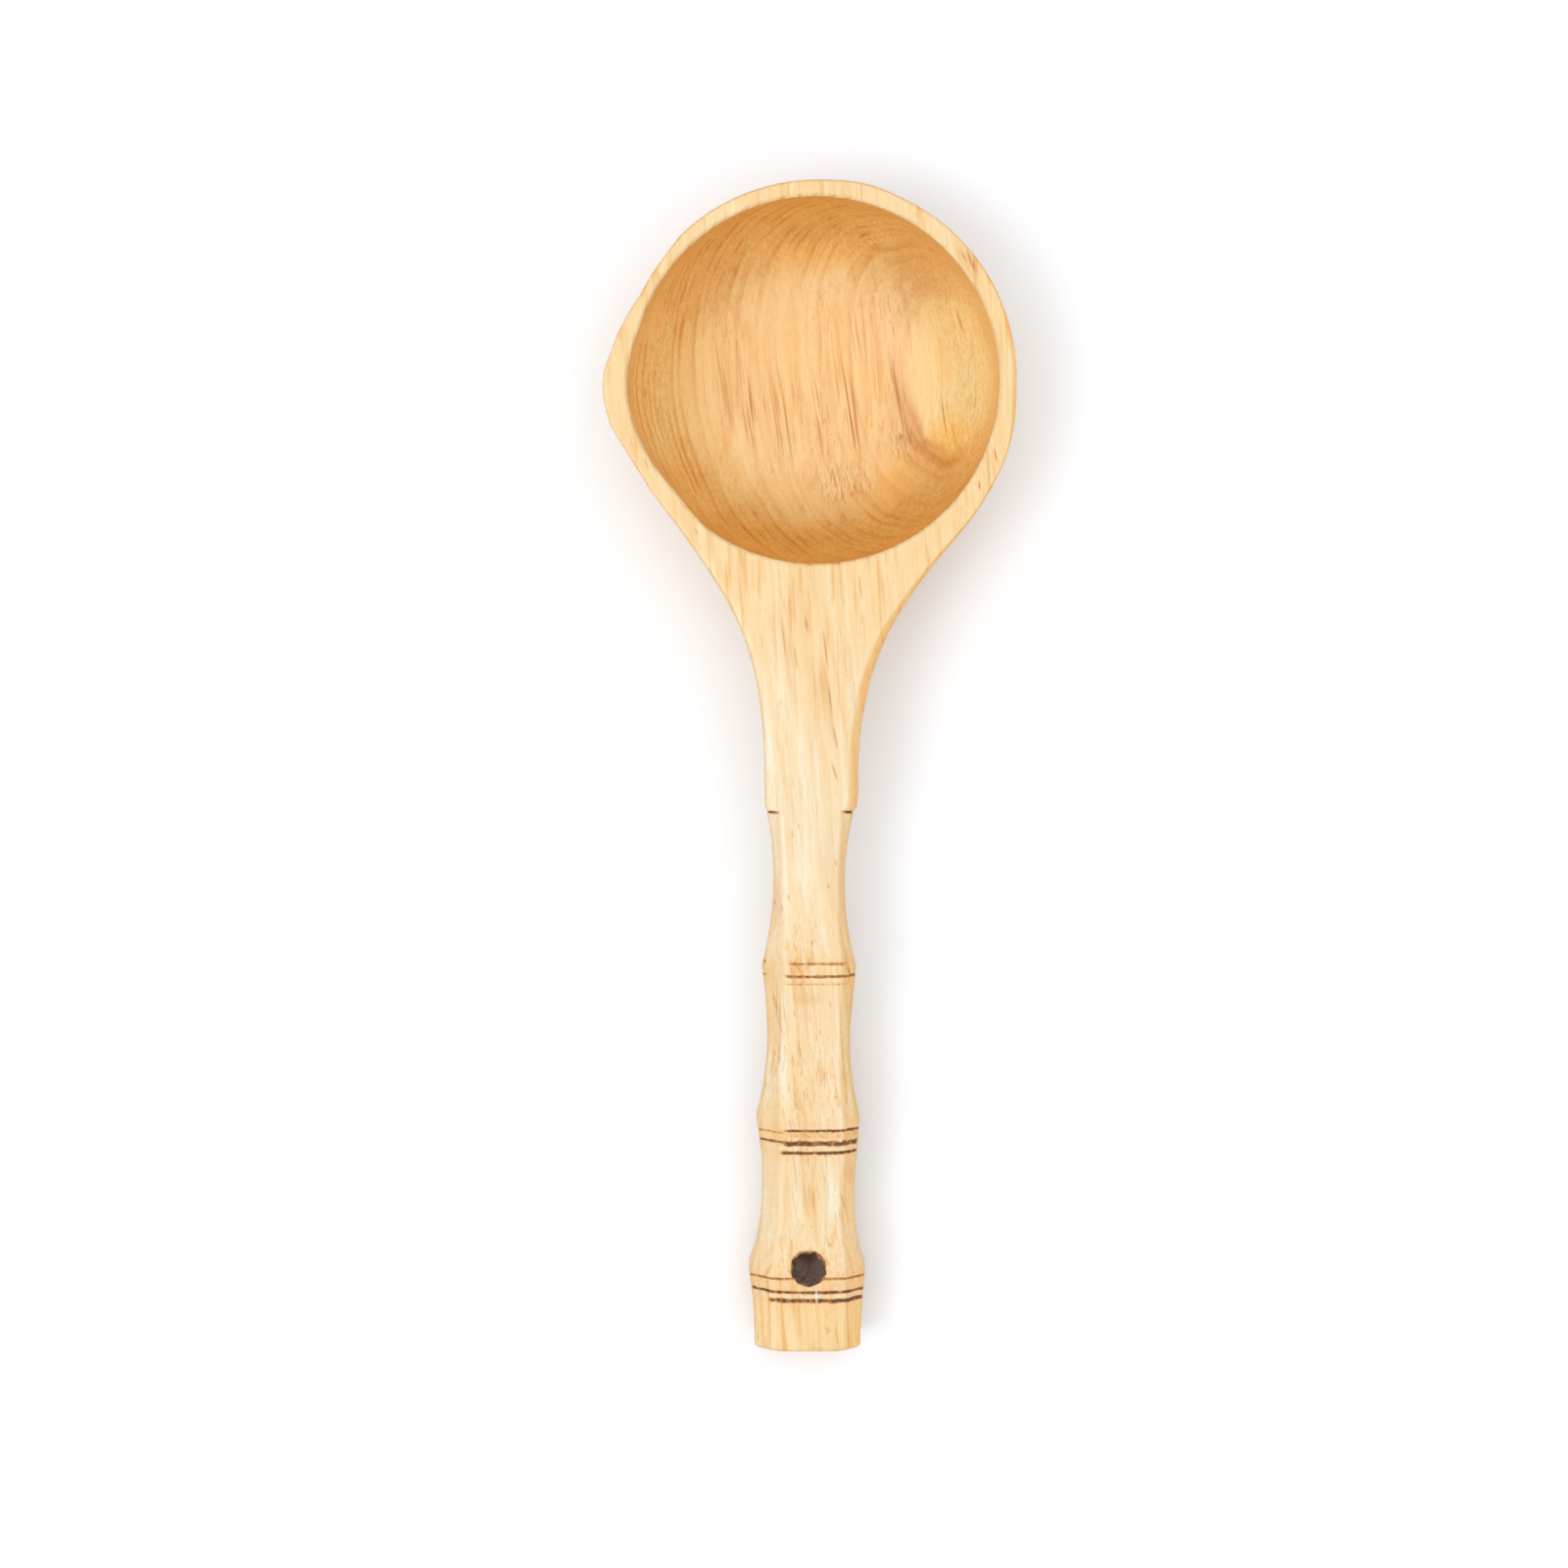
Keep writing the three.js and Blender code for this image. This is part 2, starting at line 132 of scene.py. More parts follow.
bowl_radius = MOUTH_DIAMETER / 2 + RIM_WIDTH
bend_length = SHOULDER_DISTANCE - BEND_DISTANCE
handle_drop = rim_height - NECK_THICKNESS / 2 - HANDLE_END_THICKNESS / 2 + REST_FLAT_DEPTH
slope = handle_drop / (bend_length / 2 + HANDLE_LENGTH)
shoulder_top = rim_height - slope * bend_length / 2
shoulder_middle = shoulder_top - NECK_THICKNESS / 2
print(f"rim {rim_height:.1f} mm high, handle falls {math.degrees(math.atan(slope)):.1f} degrees")

# %% [markdown]
# ## Helpers for node trees
# Shader groups and Geometry Nodes trees are both made of nodes and links. Here the output of a node is kept
# as a value that can be added and multiplied, and each sum puts a math node into the tree. So a tree reads
# like a formula.

# %% Values that make nodes
class Value:
    """The output of a node."""

    def __init__(self, socket):
        self.socket = socket

    def __add__(self, other):
        return calc("ADD", self, other)

    def __sub__(self, other):
        return calc("SUBTRACT", self, other)

    def __mul__(self, other):
        return calc("MULTIPLY", self, other)

    def __truediv__(self, other):
        return calc("DIVIDE", self, other)

    def __abs__(self):
        return calc("ABSOLUTE", self)


def connect(node, inputs):
    for label, value in inputs.items():
        if isinstance(value, Value):
            node.id_data.links.new(value.socket, node.inputs[label])
        else:
            node.inputs[label].default_value = value


def add_node(tree, kind, inputs=None, **settings):
    node = tree.nodes.new(kind)
    for name, value in settings.items():
        setattr(node, name, value)
    connect(node, inputs or {})
    return node


def outputs(node):
    return {socket.name: Value(socket) for socket in node.outputs}


def output_of(tree, kind, inputs=None, output=0, **settings):
    return Value(add_node(tree, kind, inputs, **settings).outputs[output])


def made(kind, inputs, output=0, **settings):
    """An output of a new node, in the tree that its inputs come from."""
    tree = next(value.socket.id_data for value in inputs.values() if isinstance(value, Value))
    return output_of(tree, kind, inputs, output, **settings)


def calc(operation, *values):
    return made("ShaderNodeMath", dict(enumerate(values)), operation=operation)


print("the sum of two Values is a math node")

# %% Ramps, blends and noise
def larger(first, second):
    return calc("MAXIMUM", first, second)


def smaller(first, second):
    return calc("MINIMUM", first, second)


def ramp(value, low, high, to_low=0.0, to_high=1.0):
    """Eases from one value to another while the input goes from low to high."""
    inputs = {"Value": value, "From Min": low, "From Max": high, "To Min": to_low, "To Max": to_high}
    return made("ShaderNodeMapRange", inputs, interpolation_type="SMOOTHSTEP")


def fade(value, low, high):
    return ramp(value, low, high, 1.0, 0.0)


def blend(share, first, second, mode="MIX"):
    return made("ShaderNodeMix", {0: share, 6: first, 7: second}, 2, data_type="RGBA", blend_type=mode)


def split(vector):
    return list(outputs(add_node(vector.socket.id_data, "ShaderNodeSeparateXYZ", {0: vector})).values())


def vector_of(x, y, z=0.0):
    return made("ShaderNodeCombineXYZ", {0: x, 1: y, 2: z})


def mapped(vector, location=(0, 0, 0), rotation=(0, 0, 0), scale=(1, 1, 1), kind="POINT"):
    inputs = {"Vector": vector, "Location": location, "Rotation": rotation, "Scale": scale}
    return made("ShaderNodeMapping", inputs, vector_type=kind)


def noise(scale, detail, dimensions="3D", **place):
    inputs = {**place, "Scale": scale, "Detail": detail}
    return made("ShaderNodeTexNoise", inputs, noise_dimensions=dimensions)


print("a tree can have ramps, blends, places and noise")

# %% Groups and materials
FLOAT = "NodeSocketFloat"
COLOUR = "NodeSocketColor"
VECTOR = "NodeSocketVector"
GEOMETRY = "NodeSocketGeometry"
SOCKET_FOR = {float: FLOAT, int: "NodeSocketInt", tuple: COLOUR, bpy.types.Material: "NodeSocketMaterial"}


def new_group(name, kind, inputs, results):
    """A node group. Each named input is given by its first value, or by the kind of its socket."""
    group = bpy.data.node_groups.new(name, kind)
    for label, value in inputs.items():
        given = value if isinstance(value, str) else SOCKET_FOR[type(value)]
        socket = group.interface.new_socket(label, in_out="INPUT", socket_type=given)
        if value != given:
            socket.default_value = value
    for label, given in results.items():
        group.interface.new_socket(label, in_out="OUTPUT", socket_type=given)
    return group, outputs(group.nodes.new("NodeGroupInput")), group.nodes.new("NodeGroupOutput")


def use_group(tree, group, inputs):
    """The outputs of a node that stands for a whole group."""
    return outputs(add_node(tree, "ShaderNodeGroup", inputs, node_tree=group))


def new_material(name):
    material = bpy.data.materials.new(name)
    material.use_nodes = True
    return material, material.node_tree, material.node_tree.nodes["Principled BSDF"]


print(f"an input of a group holds one of {len(SOCKET_FOR)} kinds of value")

# %% [markdown]
# ## Place in the wood
# Wood is a solid pattern: growth layers stacked like the leaves of a book, with fibres running along them.
# The blank was chosen so that the fibres follow the droop of the handle. This group straightens the droop
# and turns the place, so that X is across the layers and Y is along the fibres, in millimetres. It also
# tells how the surface lies: how steep it is, if it is an upper edge, where a highlight is painted, and if
# it slopes down to the right, where shade is painted.

# %% Place in the wood
GRAIN_LEAN = math.radians(-5.5)
LAYER_TILT = math.radians(-46)
TO_MM = (1 / MM,) * 3
# Painted shade: surfaces facing the handle count as more end-on, so the hollow's wall on the handle side is
# darker
HANDLE_FACING_SHADE = 0.5

wood_place, place_in, place_out = new_group(
    "place in the wood", "ShaderNodeTree", {"Point": VECTOR, "Facing": VECTOR},
    {
        "Place": VECTOR, "Across Layers": FLOAT, "Along Fibres": FLOAT, "Steepness": FLOAT,
        "Upper Edge": FLOAT, "Right Slope": FLOAT,
    },
)
x, y, z = split(mapped(place_in["Point"], scale=TO_MM))
past_bend = larger(y * -1.0 - BEND_DISTANCE, 0.0)
in_bend = smaller(past_bend, bend_length)
fallen = in_bend * (in_bend * (0.5 / bend_length)) + larger(past_bend - bend_length, 0.0)
turn = (0, LAYER_TILT, GRAIN_LEAN)
across, along, _ = split(mapped(place_in["Facing"], rotation=turn))
sideways, _, upward = split(place_in["Facing"])
# Where the painted highlight goes: upper edges turning left or right
left_edge = fade(sideways, -0.05, 0.20) * ramp(upward, 0.60, 0.80) * fade(upward, 0.93, 0.985)
right_edge = ramp(sideways, 0.10, 0.20) * ramp(upward, 0.80, 0.90) * fade(upward, 0.985, 0.998)
connect(place_out, {
    "Place": mapped(vector_of(x, y, fallen * slope + z), rotation=turn),
    "Across Layers": abs(across),
    "Along Fibres": abs(along) + larger(along, 0.0) * HANDLE_FACING_SHADE,
    "Steepness": calc("SUBTRACT", 1.0, abs(upward)),
    "Upper Edge": larger(left_edge, right_edge),
    # Where the painted shade goes: slopes that face right, away from the lamps
    "Right Slope": ramp(sideways, 0.36, 0.62) * ramp(upward, 0.2, 0.5),
})
print("place in the wood:", len(wood_place.nodes), "nodes")

# %% [markdown]
# ## Wood figure
# A surface shows whatever it cuts through. The flat neck shows long streaks, the left wall of the hollow
# shows close rings, and the steep ends of the hollow show specks and look deeper in colour. A picture of
# wood laid on the surface would break at every edge. A solid pattern runs through, and all of this comes
# from one rule. First come the growth layers: soft bands, thin lines, and one layer that is much darker
# than the rest. Each noise has an offset of its own, so that no two run alike.

# %% Growth layers
wood_figure, wood_in, wood_out = new_group("wood figure", "ShaderNodeTree", {
    "Place": VECTOR, "Across Layers": 0.7, "Along Fibres": 0.0, "Steepness": 0.0, "Upper Edge": 0.0,
    "Right Slope": 0.0, "Pale": (0.98, 0.735, 0.395, 1), "Warm": (0.89, 0.58, 0.23, 1),
    "Cream": (0.965, 0.815, 0.565, 1), "Creaminess": 0.0, "Layer Contrast": 0.6, "Line Strength": 0.3,
    "Streak Strength": 0.7, "Pore Strength": 0.6, "Fleck Strength": 0.3, "Dark Layer": 11.4,
    "Dark Layer Strength": 1.0, "Deepening": 0.6, "Steep Painted Shade": 1.0, "Wall Painted Light": 0.0,
    "Edge Painted Highlight": 0.0, "Right Painted Shade": 0.0, "Pore Bundles": 0.0, "Plain Roughness": 0.36,
}, {"Colour": COLOUR, "Roughness": FLOAT, "Height": FLOAT})
place = wood_in["Place"]
steep = wood_in["Steepness"]


def fibre_noise(across, along, detail=1.0, offset=0.0, source=place):
    """Noise with so many waves a millimetre across the fibres and along them."""
    return noise(1.0, detail, Vector=mapped(source, (offset,) * 3, scale=(across, along, across)))


x, y, _ = split(place)
layer = x + (fibre_noise(0.045, 0.014, 2.0) * 6.0 - 3.0)


def layer_noise(scale, offset):
    return noise(scale, 1.0, "1D", W=layer + offset)


def layer_lines(spacing, offset):
    """A layer darkens towards its end and stops at a thin line. Noise keeps the layers uneven."""
    within = calc("FRACT", layer * (1 / spacing) + layer_noise(0.45 / spacing, offset) * 2.2)
    return ramp(within, 0.45, 0.95) * fade(within, 0.95, 1.0)


broad = ramp(layer_noise(0.10, 40.0), 0.34, 0.66)
narrow = ramp(layer_noise(0.42, 90.0), 0.40, 0.70)
cloud = ramp(fibre_noise(0.12, 0.028, 2.0, 17.0), 0.34, 0.66)
bands = broad * 0.35 + (narrow * 0.25 + cloud * 0.4)

from_dark = layer - wood_in["Dark Layer"]
patchy = ramp(fibre_noise(0.16, 0.022, 1.0, 33.0), 0.36, 0.62, 0.15, 1.0)
crossing = ramp(wood_in["Across Layers"], 0.80, 0.97, 1.0, 0.25)
before_dark = ramp(from_dark, -9.0, -2.0, 1.0, 0.22)
lines = larger(layer_lines(3.1, 12.0), layer_lines(1.25, 65.0) * 0.6) * patchy * crossing
lines = lines * ramp(steep, 0.02, 0.30, 0.4, 1.0) * before_dark * wood_in["Line Strength"]

past_dark = fibre_noise(0.30, 0.05, 2.0, 9.0) * 2.4 - 1.2 + from_dark
smudged = ramp(layer_noise(0.9, 7.0), 0.35, 0.65, 0.45, 0.9)
smudge = fade(past_dark, -0.2, 0.9) * ramp(past_dark, -5.5, 0.0) * smudged
core = ramp(abs(past_dark), 0.0, 1.0, 0.8, 0.0) * ramp(steep, 0.10, 0.30, 1.0, 0.1)
to_handle = ramp(y, -18.0, 12.0, 1.15, 0.45)
dark = larger(smudge, core) * to_handle * fade(steep, 0.25, 0.55) * wood_in["Dark Layer Strength"]
heart = ramp(past_dark, 0.3, 1.6) * wood_in["Dark Layer Strength"]
print("growth layers:", len(wood_figure.nodes), "nodes")

# %% [markdown]
# Pores are the cut ends of the tree's vessels: short dark dashes along the fibres, crowded in some layers.
# They are noise stretched along the fibres and cut off high, so that only narrow peaks are left. Softer,
# longer streaks lie between them, and on steep cuts the wood's rays show as short pale and dark flecks.
# Each of them multiplies the colour by a tint, which keeps a dark streak as warm as the wood round it.

# %% Pores and streaks
STAGGER = 70.0

shifted = vector_of(0.0, fibre_noise(0.9, 0.0, 0.0, 7.3) * STAGGER)
staggered = made("ShaderNodeVectorMath", {0: place, 1: shifted}, operation="ADD")
crowd = ramp(fibre_noise(0.10, 0.016, 1.0, 51.0), 0.42, 0.60, 0.06, 1.0)
long_pores = ramp(fibre_noise(1.05, 0.085, 1.0, 5.0, staggered), 0.60, 0.72)
short_pores = ramp(fibre_noise(1.9, 0.22, 1.0, 29.0, staggered), 0.60, 0.72)
end_on = ramp(wood_in["Along Fibres"], 0.15, 0.50, 1.0, 0.35)
pores = crowd * end_on * larger(long_pores, short_pores * 0.8) * wood_in["Pore Strength"]
pores = larger(pores, wood_in["Pore Bundles"])
streaky = ramp(fibre_noise(0.12, 0.012, 1.0, 61.0), 0.36, 0.60, 0.2, 1.0)
streaks = ramp(fibre_noise(0.65, 0.017, 1.5, 83.0), 0.50, 0.72) * streaky
pale_streaks = ramp(fibre_noise(0.40, 0.020, 1.5, 47.0), 0.50, 0.70)
fibres = fibre_noise(2.4, 0.08, 2.0, 71.0)
flecks = ramp(fibre_noise(1.5, 0.55, 1.0, 23.0), 0.35, 0.75) * wood_in["Fleck Strength"]
print("with pores and streaks:", len(wood_figure.nodes), "nodes")

# %% Tint the wood
LINE_TINT = (0.80, 0.60, 0.38, 1)
DARK_TINT = (0.76, 0.55, 0.40, 1)
STREAK_TINT = (0.92, 0.71, 0.44, 1)
PORE_TINT = (0.62, 0.42, 0.20, 1)
PALE_TINT = (1.0, 1.11, 1.27, 1)
CUT_ACROSS_TINT = (1.10, 1.11, 1.08, 1)
FLAT_CUT_TINT = (1.06, 1.11, 1.20, 1)
END_GRAIN_TINT = (0.80, 0.63, 0.375, 1)
# Painted shade: steep sides, edges and bevels are darkened and warmed as if in shade
STEEP_SHADE_TINT = (1.0, 0.81, 0.54, 1)
HEART_TINT = (1.02, 1.05, 1.04, 1)
# Painted light: the steep walls of the hollow are lightened, standing in for light that reaches them
WALL_LIGHT_TINT = (1.30, 1.34, 1.34, 1)
# Painted highlight: upper edges are made paler, standing in for their shine
EDGE_HIGHLIGHT_TINT = (1.05, 1.11, 1.25, 1)
# Painted shade: slopes facing right are darkened and warmed
RIGHT_SHADE_TINT = (1.08, 0.95, 0.74, 1)

deep = wood_in["Deepening"] * ramp(wood_in["Creaminess"], 0.0, 1.0, 1.0, 0.1)
base = blend(wood_in["Creaminess"], wood_in["Pale"], wood_in["Cream"])
colour = blend(bands * wood_in["Layer Contrast"], base, wood_in["Warm"])
for share, tint in [
    (pale_streaks * wood_in["Streak Strength"], PALE_TINT),
    (streaks * wood_in["Streak Strength"], STREAK_TINT),
    (lines, LINE_TINT),
    (dark, DARK_TINT),
    (heart, HEART_TINT),
    (flecks * ramp(steep, 0.05, 0.4, 0.3, 1.0), LINE_TINT),
    (ramp(fibres, 0.35, 0.75) * 0.25, STREAK_TINT),
    (pores, PORE_TINT),
    (fade(wood_in["Across Layers"], 0.10, 0.75) * deep, CUT_ACROSS_TINT),
    (ramp(wood_in["Across Layers"], 0.84, 0.99) * deep, FLAT_CUT_TINT),
    # End-grain darkening, plus painted shade on surfaces that face the handle
    (ramp(wood_in["Along Fibres"], 0.25, 1.25) * deep, END_GRAIN_TINT),
    # Painted shade on steep surfaces
    (ramp(steep, 0.02, 0.55) * wood_in["Steep Painted Shade"], STEEP_SHADE_TINT),
    # Painted light on the steep walls of the hollow
    (ramp(steep, 0.10, 0.85) * wood_in["Wall Painted Light"], WALL_LIGHT_TINT),
    # Painted shade on slopes facing right
    (wood_in["Right Slope"] * wood_in["Right Painted Shade"], RIGHT_SHADE_TINT),
    # Painted highlight on upper edges
    (wood_in["Upper Edge"] * wood_in["Edge Painted Highlight"], EDGE_HIGHLIGHT_TINT),
]:
    colour = blend(share, colour, tint, "MULTIPLY")
connect(wood_out, {
    "Colour": colour, "Roughness": pores * 0.2 + wood_in["Plain Roughness"], "Height": fibres * 0.35 - pores,
})
print("wood figure:", len(wood_figure.nodes), "nodes")

# %% [markdown]
# ## Scorch
# The lines at the nodes are burnt in with a hot iron: nearly black where the iron touched, toasted brown
# beside it. Between two close lines a ridge of fresh pale wood is left. The mask is above zero where the
# wood is burnt and below zero where it is bare, and noise roughens its edge. The mask comes from the
# strokes that cut the wood, so cut and burn always agree.

# %% Scorch group
TOASTED = (0.50, 0.235, 0.09, 1)
CHARRED = (0.16, 0.062, 0.027, 1)
BARE = (1.0, 0.95, 0.80, 1)
WARMED = (1.0, 0.86, 0.66, 1)
BURNT_ROUGHNESS = 0.8

scorch_mark, scorch_in, scorch_out = new_group(
    "scorch", "ShaderNodeTree", {"Wood": COLOUR, "Mask": 0.0, "Place": VECTOR, "Wood Roughness": 0.5},
    {"Colour": COLOUR, "Roughness": FLOAT},
)
mask = scorch_in["Mask"] * ramp(noise(0.9, 3.0, Vector=scorch_in["Place"]), 0.25, 0.75, 0.55, 1.3)
toast = ramp(mask, 0.15, 0.5)
colour = blend(ramp(mask * -1.0, 0.05, 0.6), scorch_in["Wood"], BARE)
colour = blend(ramp(mask, 0.0, 0.2), colour, WARMED, "MULTIPLY")
connect(scorch_out, {
    "Colour": blend(ramp(mask, 0.5, 0.95), blend(toast, colour, TOASTED), CHARRED),
    "Roughness": ramp(toast, 0.0, 1.0, scorch_in["Wood Roughness"], BURNT_ROUGHNESS),
})
print("scorch:", len(scorch_mark.nodes), "nodes")

# %% [markdown]
# ## Strokes on the wood
# Some marks stand out one by one: a dark pore line, a pale or golden patch, a bundle of long pores. Each is
# a stroke with a place, a length, a width and a direction. A mark or a patch tints the wood only where the
# surface faces up. They are listed, because noise never puts a mark just where this ladle has it.

# %% Marks on the bowl
MARK_TINT = (0.72, 0.43, 0.23, 1)
GOLDEN_TINT = (1.05, 0.95, 0.70, 1)
# Strokes: x, y, length and width in millimetres, direction in degrees, strength
RIM_AND_NECK_MARKS = [
    (40, 31.6, 15, 7, -60, 0.3), (40.6, 31.9, 8, 0.9, -72, 1), (39, 32.5, 5, 0.8, -60, 0.8),
    (41.7, 30, 5, 0.8, -84, 0.9), (47.5, -20.7, 6.4, 0.8, -80, 1), (43.2, -28.8, 3.8, 0.9, -87, 1),
    (-46.1, -23, 4.4, 0.9, -70, 0.5), (-36.5, -33.7, 4, 0.9, -63, 0.5), (-32.6, -41.2, 3.4, 0.9, -67, 0.5),
    (1.9, -72.5, 15, 0.9, -83, 0.75), (3.2, -86, 14, 0.9, -83, 0.7), (4.6, -96.5, 10, 0.9, -79, 0.75),
    (4.4, -105.5, 7.5, 0.8, -71, 0.75), (-9.3, -69.5, 17, 0.9, -84, 0.6), (-3.2, -66, 5, 1, -83, 0.75),
    (11.2, -56, 8, 0.8, -84, 0.75), (-6, -75, 9, 0.9, -82, 0.55), (-8.1, -77, 32, 2.4, -84, 0.28),
    (3, -88.7, 28, 2.4, -82, 0.28), (-2.8, -65.5, 13, 2.6, -83, 0.22),
]
# Painted highlight: a pale strip along the right rim, where the bevel's edge catches the light
RIM_PAINTED_HIGHLIGHT = [(51.7, -1, 44, 6, 90, 0.6)]
HOLLOW_MARKS = [
    (-30, 29, 56, 26, 45, 0.24), (28, 31, 34, 18, -45, 0.2), (0, 44, 44, 12, 0, 0.14),
    (38.9, 18.1, 10, 0.9, -72, 0.7), (10.8, -10, 12, 0.8, -82, 0.7), (8.9, -5, 13, 0.8, -81, 0.7),
    (3, -6, 10, 0.7, -80, 0.6), (-14.5, -3.5, 9, 0.9, -82, 0.5), (-17.2, -6, 10, 0.8, -83, 0.5),
]
# Painted light: pale patches lighten the left, right and lower right walls of the hollow
HOLLOW_PAINTED_LIGHT = [(30, -30, 34, 18, 45, 0.5), (43, 0, 40, 15, 90, 0.95), (-43, -14, 34, 13, 90, 0.8)]
HOLLOW_GOLDEN = [(0, 37, 46, 15, 0, 0.9), (36, -15, 24, 16, 60, 0.9), (21, -26, 30, 16, 45, 0.8)]
HOLLOW_BUNDLES = [
    (-18.7, -4.9, 38, 7, -80, 0.9), (-9.6, -9, 44, 8.5, -80, 0.7), (1, -7.5, 34, 7, -80, 0.9),
    (8.9, -4.5, 38, 7, -80, 1), (22.8, -2, 40, 6, -80, 0.8), (35, -8.3, 22, 6, -75, 0.8),
    (38.8, 17.6, 10, 1.8, -70, 1), (11, 18, 24, 16, -80, 0.5), (-26, 2, 36, 5, -80, 0.5),
]
HOLLOW_TICKS = [(7.6, -25.2, 26, 18, 0, 0.75), (23.5, -14.5, 17, 14, -60, 0.75)]
print(f"{len(RIM_AND_NECK_MARKS)} dark marks on the rim and neck, {len(HOLLOW_MARKS)} in the hollow")

# %% Marks on the handle
HANDLE_MARKS = [
    (-5.2, -158.7, 2.6, 0.7, -70, 0.7), (8.3, -159.2, 4.4, 0.9, -67, 0.8), (-11.6, -168, 8, 1, -75, 0.6),
    (-10.3, -174, 8, 0.9, -75, 0.45), (-4.9, -181, 10, 0.8, -77, 0.5), (-6.7, -183.5, 5, 0.8, -76, 0.5),
    (6.9, -222.5, 8, 0.9, -72, 0.5), (8.5, -214.5, 10, 4, -80, 0.25), (-2.5, -167, 12, 5, 0, 0.2),
    (-1.6, -221.5, 13, 1.6, -80, 0.3), (2.5, -131, 30, 8, -86, 0.14), (-10.8, -141, 16, 4, -88, 0.15),
]
# Short pore ends on the handle: x and y of each
HANDLE_PORE_ENDS = [
    (-5.3, -120.1), (-6.9, -122.2), (-11.6, -140.7), (-9.7, -142.3), (-7.9, -139.4), (2.8, -136.3),
    (4.7, -130.1), (-6, -153.2), (-1.6, -152), (-6.4, -171), (0.6, -176), (3.4, -168.4), (-4, -204),
    (2, -209.5),
]
PORE_END_SHAPE = (2.8, 0.75, -80, 0.55)
HANDLE_MARKS += [(*spot, *PORE_END_SHAPE) for spot in HANDLE_PORE_ENDS]
# Pale wood, and one painted highlight: the first stroke lightens the left of the top face near the shoulder,
# where the camber catches the light
HANDLE_PALE_AND_HIGHLIGHT = [
    (-4.4, -132.9, 16, 8, -86, 0.4), (1.3, -184.3, 24, 3.4, -84, 0.7), (-9.2, -168.6, 9, 1.8, -80, 0.9),
    (-5.5, -223.3, 18, 5.4, -82, 0.95), (3.9, -221.7, 20, 5.4, -82, 0.95), (-2, -209, 12, 3, -82, 0.5),
    (-9.5, -188, 20, 3.6, -84, 0.6),
]
# A small crack at the hole, where bare wood shows
HOLE_CHECK = [(-0.35, -248.4, 5.4, 1.1, -88, 0.75)]
print(f"{len(HANDLE_MARKS)} dark marks on the handle")

# %% Strokes and pore bundles
STROKE_REACH_DOWN = 1000
BUNDLE_LEAN = math.radians(-8.5)
BUNDLE_STAGGER = 16.0
BUNDLE_WAVES_ACROSS = 1.3
LONG_WAVES = 0.05
SHORT_WAVES = 0.40


def stroke(point, x, y, length, width, angle):
    """One for a point on the stroke, fading to zero at its edge."""
    size = (length / 2 * MM, width / 2 * MM, STROKE_REACH_DOWN)
    inside = mapped(point, (x * MM, y * MM, 0), (0, 0, math.radians(angle)), size, "TEXTURE")
    away = made("ShaderNodeVectorMath", {0: inside}, "Value", operation="LENGTH")
    return fade(away, 0.2, 1.0)


def marked(point, facing_up, colour, strokes, tint, mode):
    for *shape, strength in strokes:
        colour = blend(stroke(point, *shape) * facing_up * strength, colour, tint, mode)
    return colour


def bundled_pores(point, waves_along, bundles):
    """Pore lines that lean with the grain, crowded into bundles."""
    crowded = 0.0
    for *shape, strength in bundles:
        crowded = larger(stroke(point, *shape) * strength, crowded)
    x, y, _ = split(mapped(point, rotation=(0, 0, BUNDLE_LEAN), scale=TO_MM))
    along = (noise(0.9, 0.0, "1D", W=x) * BUNDLE_STAGGER + y) * waves_along
    drawn = noise(1.0, 1.0, "2D", Vector=vector_of(x * BUNDLE_WAVES_ACROSS, along))
    return ramp(drawn, 0.50, 0.66) * crowded


print(f"pore lines lean {math.degrees(BUNDLE_LEAN):.1f} degrees")

# %% [markdown]
# ## Wood materials
# Bowl and handle are cut from matching wood, so both read the same solid pattern and the figure runs on
# across the shoulder. The sapwood towards the handle is creamier. The inside of the bowl has been oiled and
# wetted, so it is deeper in colour. The peg is a darker, harder wood. A fade lets an input of the wood
# figure change along X, Y or Z, over a stretch given in metres.

# %% Build a wood material
X, Y, Z = range(3)


def wood_material(name, values, fades=(), marks=(), bundles=(), scorched=False, checks=()):
    material, tree, shader = new_material(name)
    coordinate = outputs(add_node(tree, "ShaderNodeTexCoord"))
    point, facing = coordinate["Object"], coordinate["Normal"]
    facing_up = ramp(split(facing)[Z], 0.05, 0.3)
    place = use_group(tree, wood_place, {"Point": point, "Facing": facing})
    figure = {**values, **place}
    for label, axis, stretch, *ends in fades:
        figure[label] = ramp(split(point)[axis], *stretch, *ends)
    figure["Pore Bundles"] = 0.0
    for waves_along, strokes in bundles:
        figure["Pore Bundles"] = larger(bundled_pores(point, waves_along, strokes), figure["Pore Bundles"])
    colour, roughness, height = use_group(tree, wood_figure, figure).values()
    for tint, strokes in marks:
        colour = marked(point, facing_up, colour, strokes, tint, "MULTIPLY")
    if scorched:
        mask = output_of(tree, "ShaderNodeAttribute", output="Fac", attribute_name="scorch")
        burn = {"Wood": colour, "Mask": mask, "Wood Roughness": roughness, "Place": place["Place"]}
        colour, roughness = use_group(tree, scorch_mark, burn).values()
    connect(shader, {
        "Base Color": marked(point, facing_up, colour, checks, BARE, "MIX"),
        "Roughness": roughness,
        "Specular IOR Level": 0.5,
        "Normal": made("ShaderNodeBump", {"Height": height, "Strength": 0.2, "Distance": 0.0002}),
    })
    return material


print("a wood material uses:", wood_place.name, "and", wood_figure.name)

# %% Four woods
CREAM_SAPWOOD = (-0.045, -0.105)
PAST_SHOULDER = (-0.117, -0.150)
END_BLOCK = (-0.2485, -0.2515)
INNER_EDGE = (0.0411, 0.0415)
FAINT_SIDE = (0.010, 0.030)

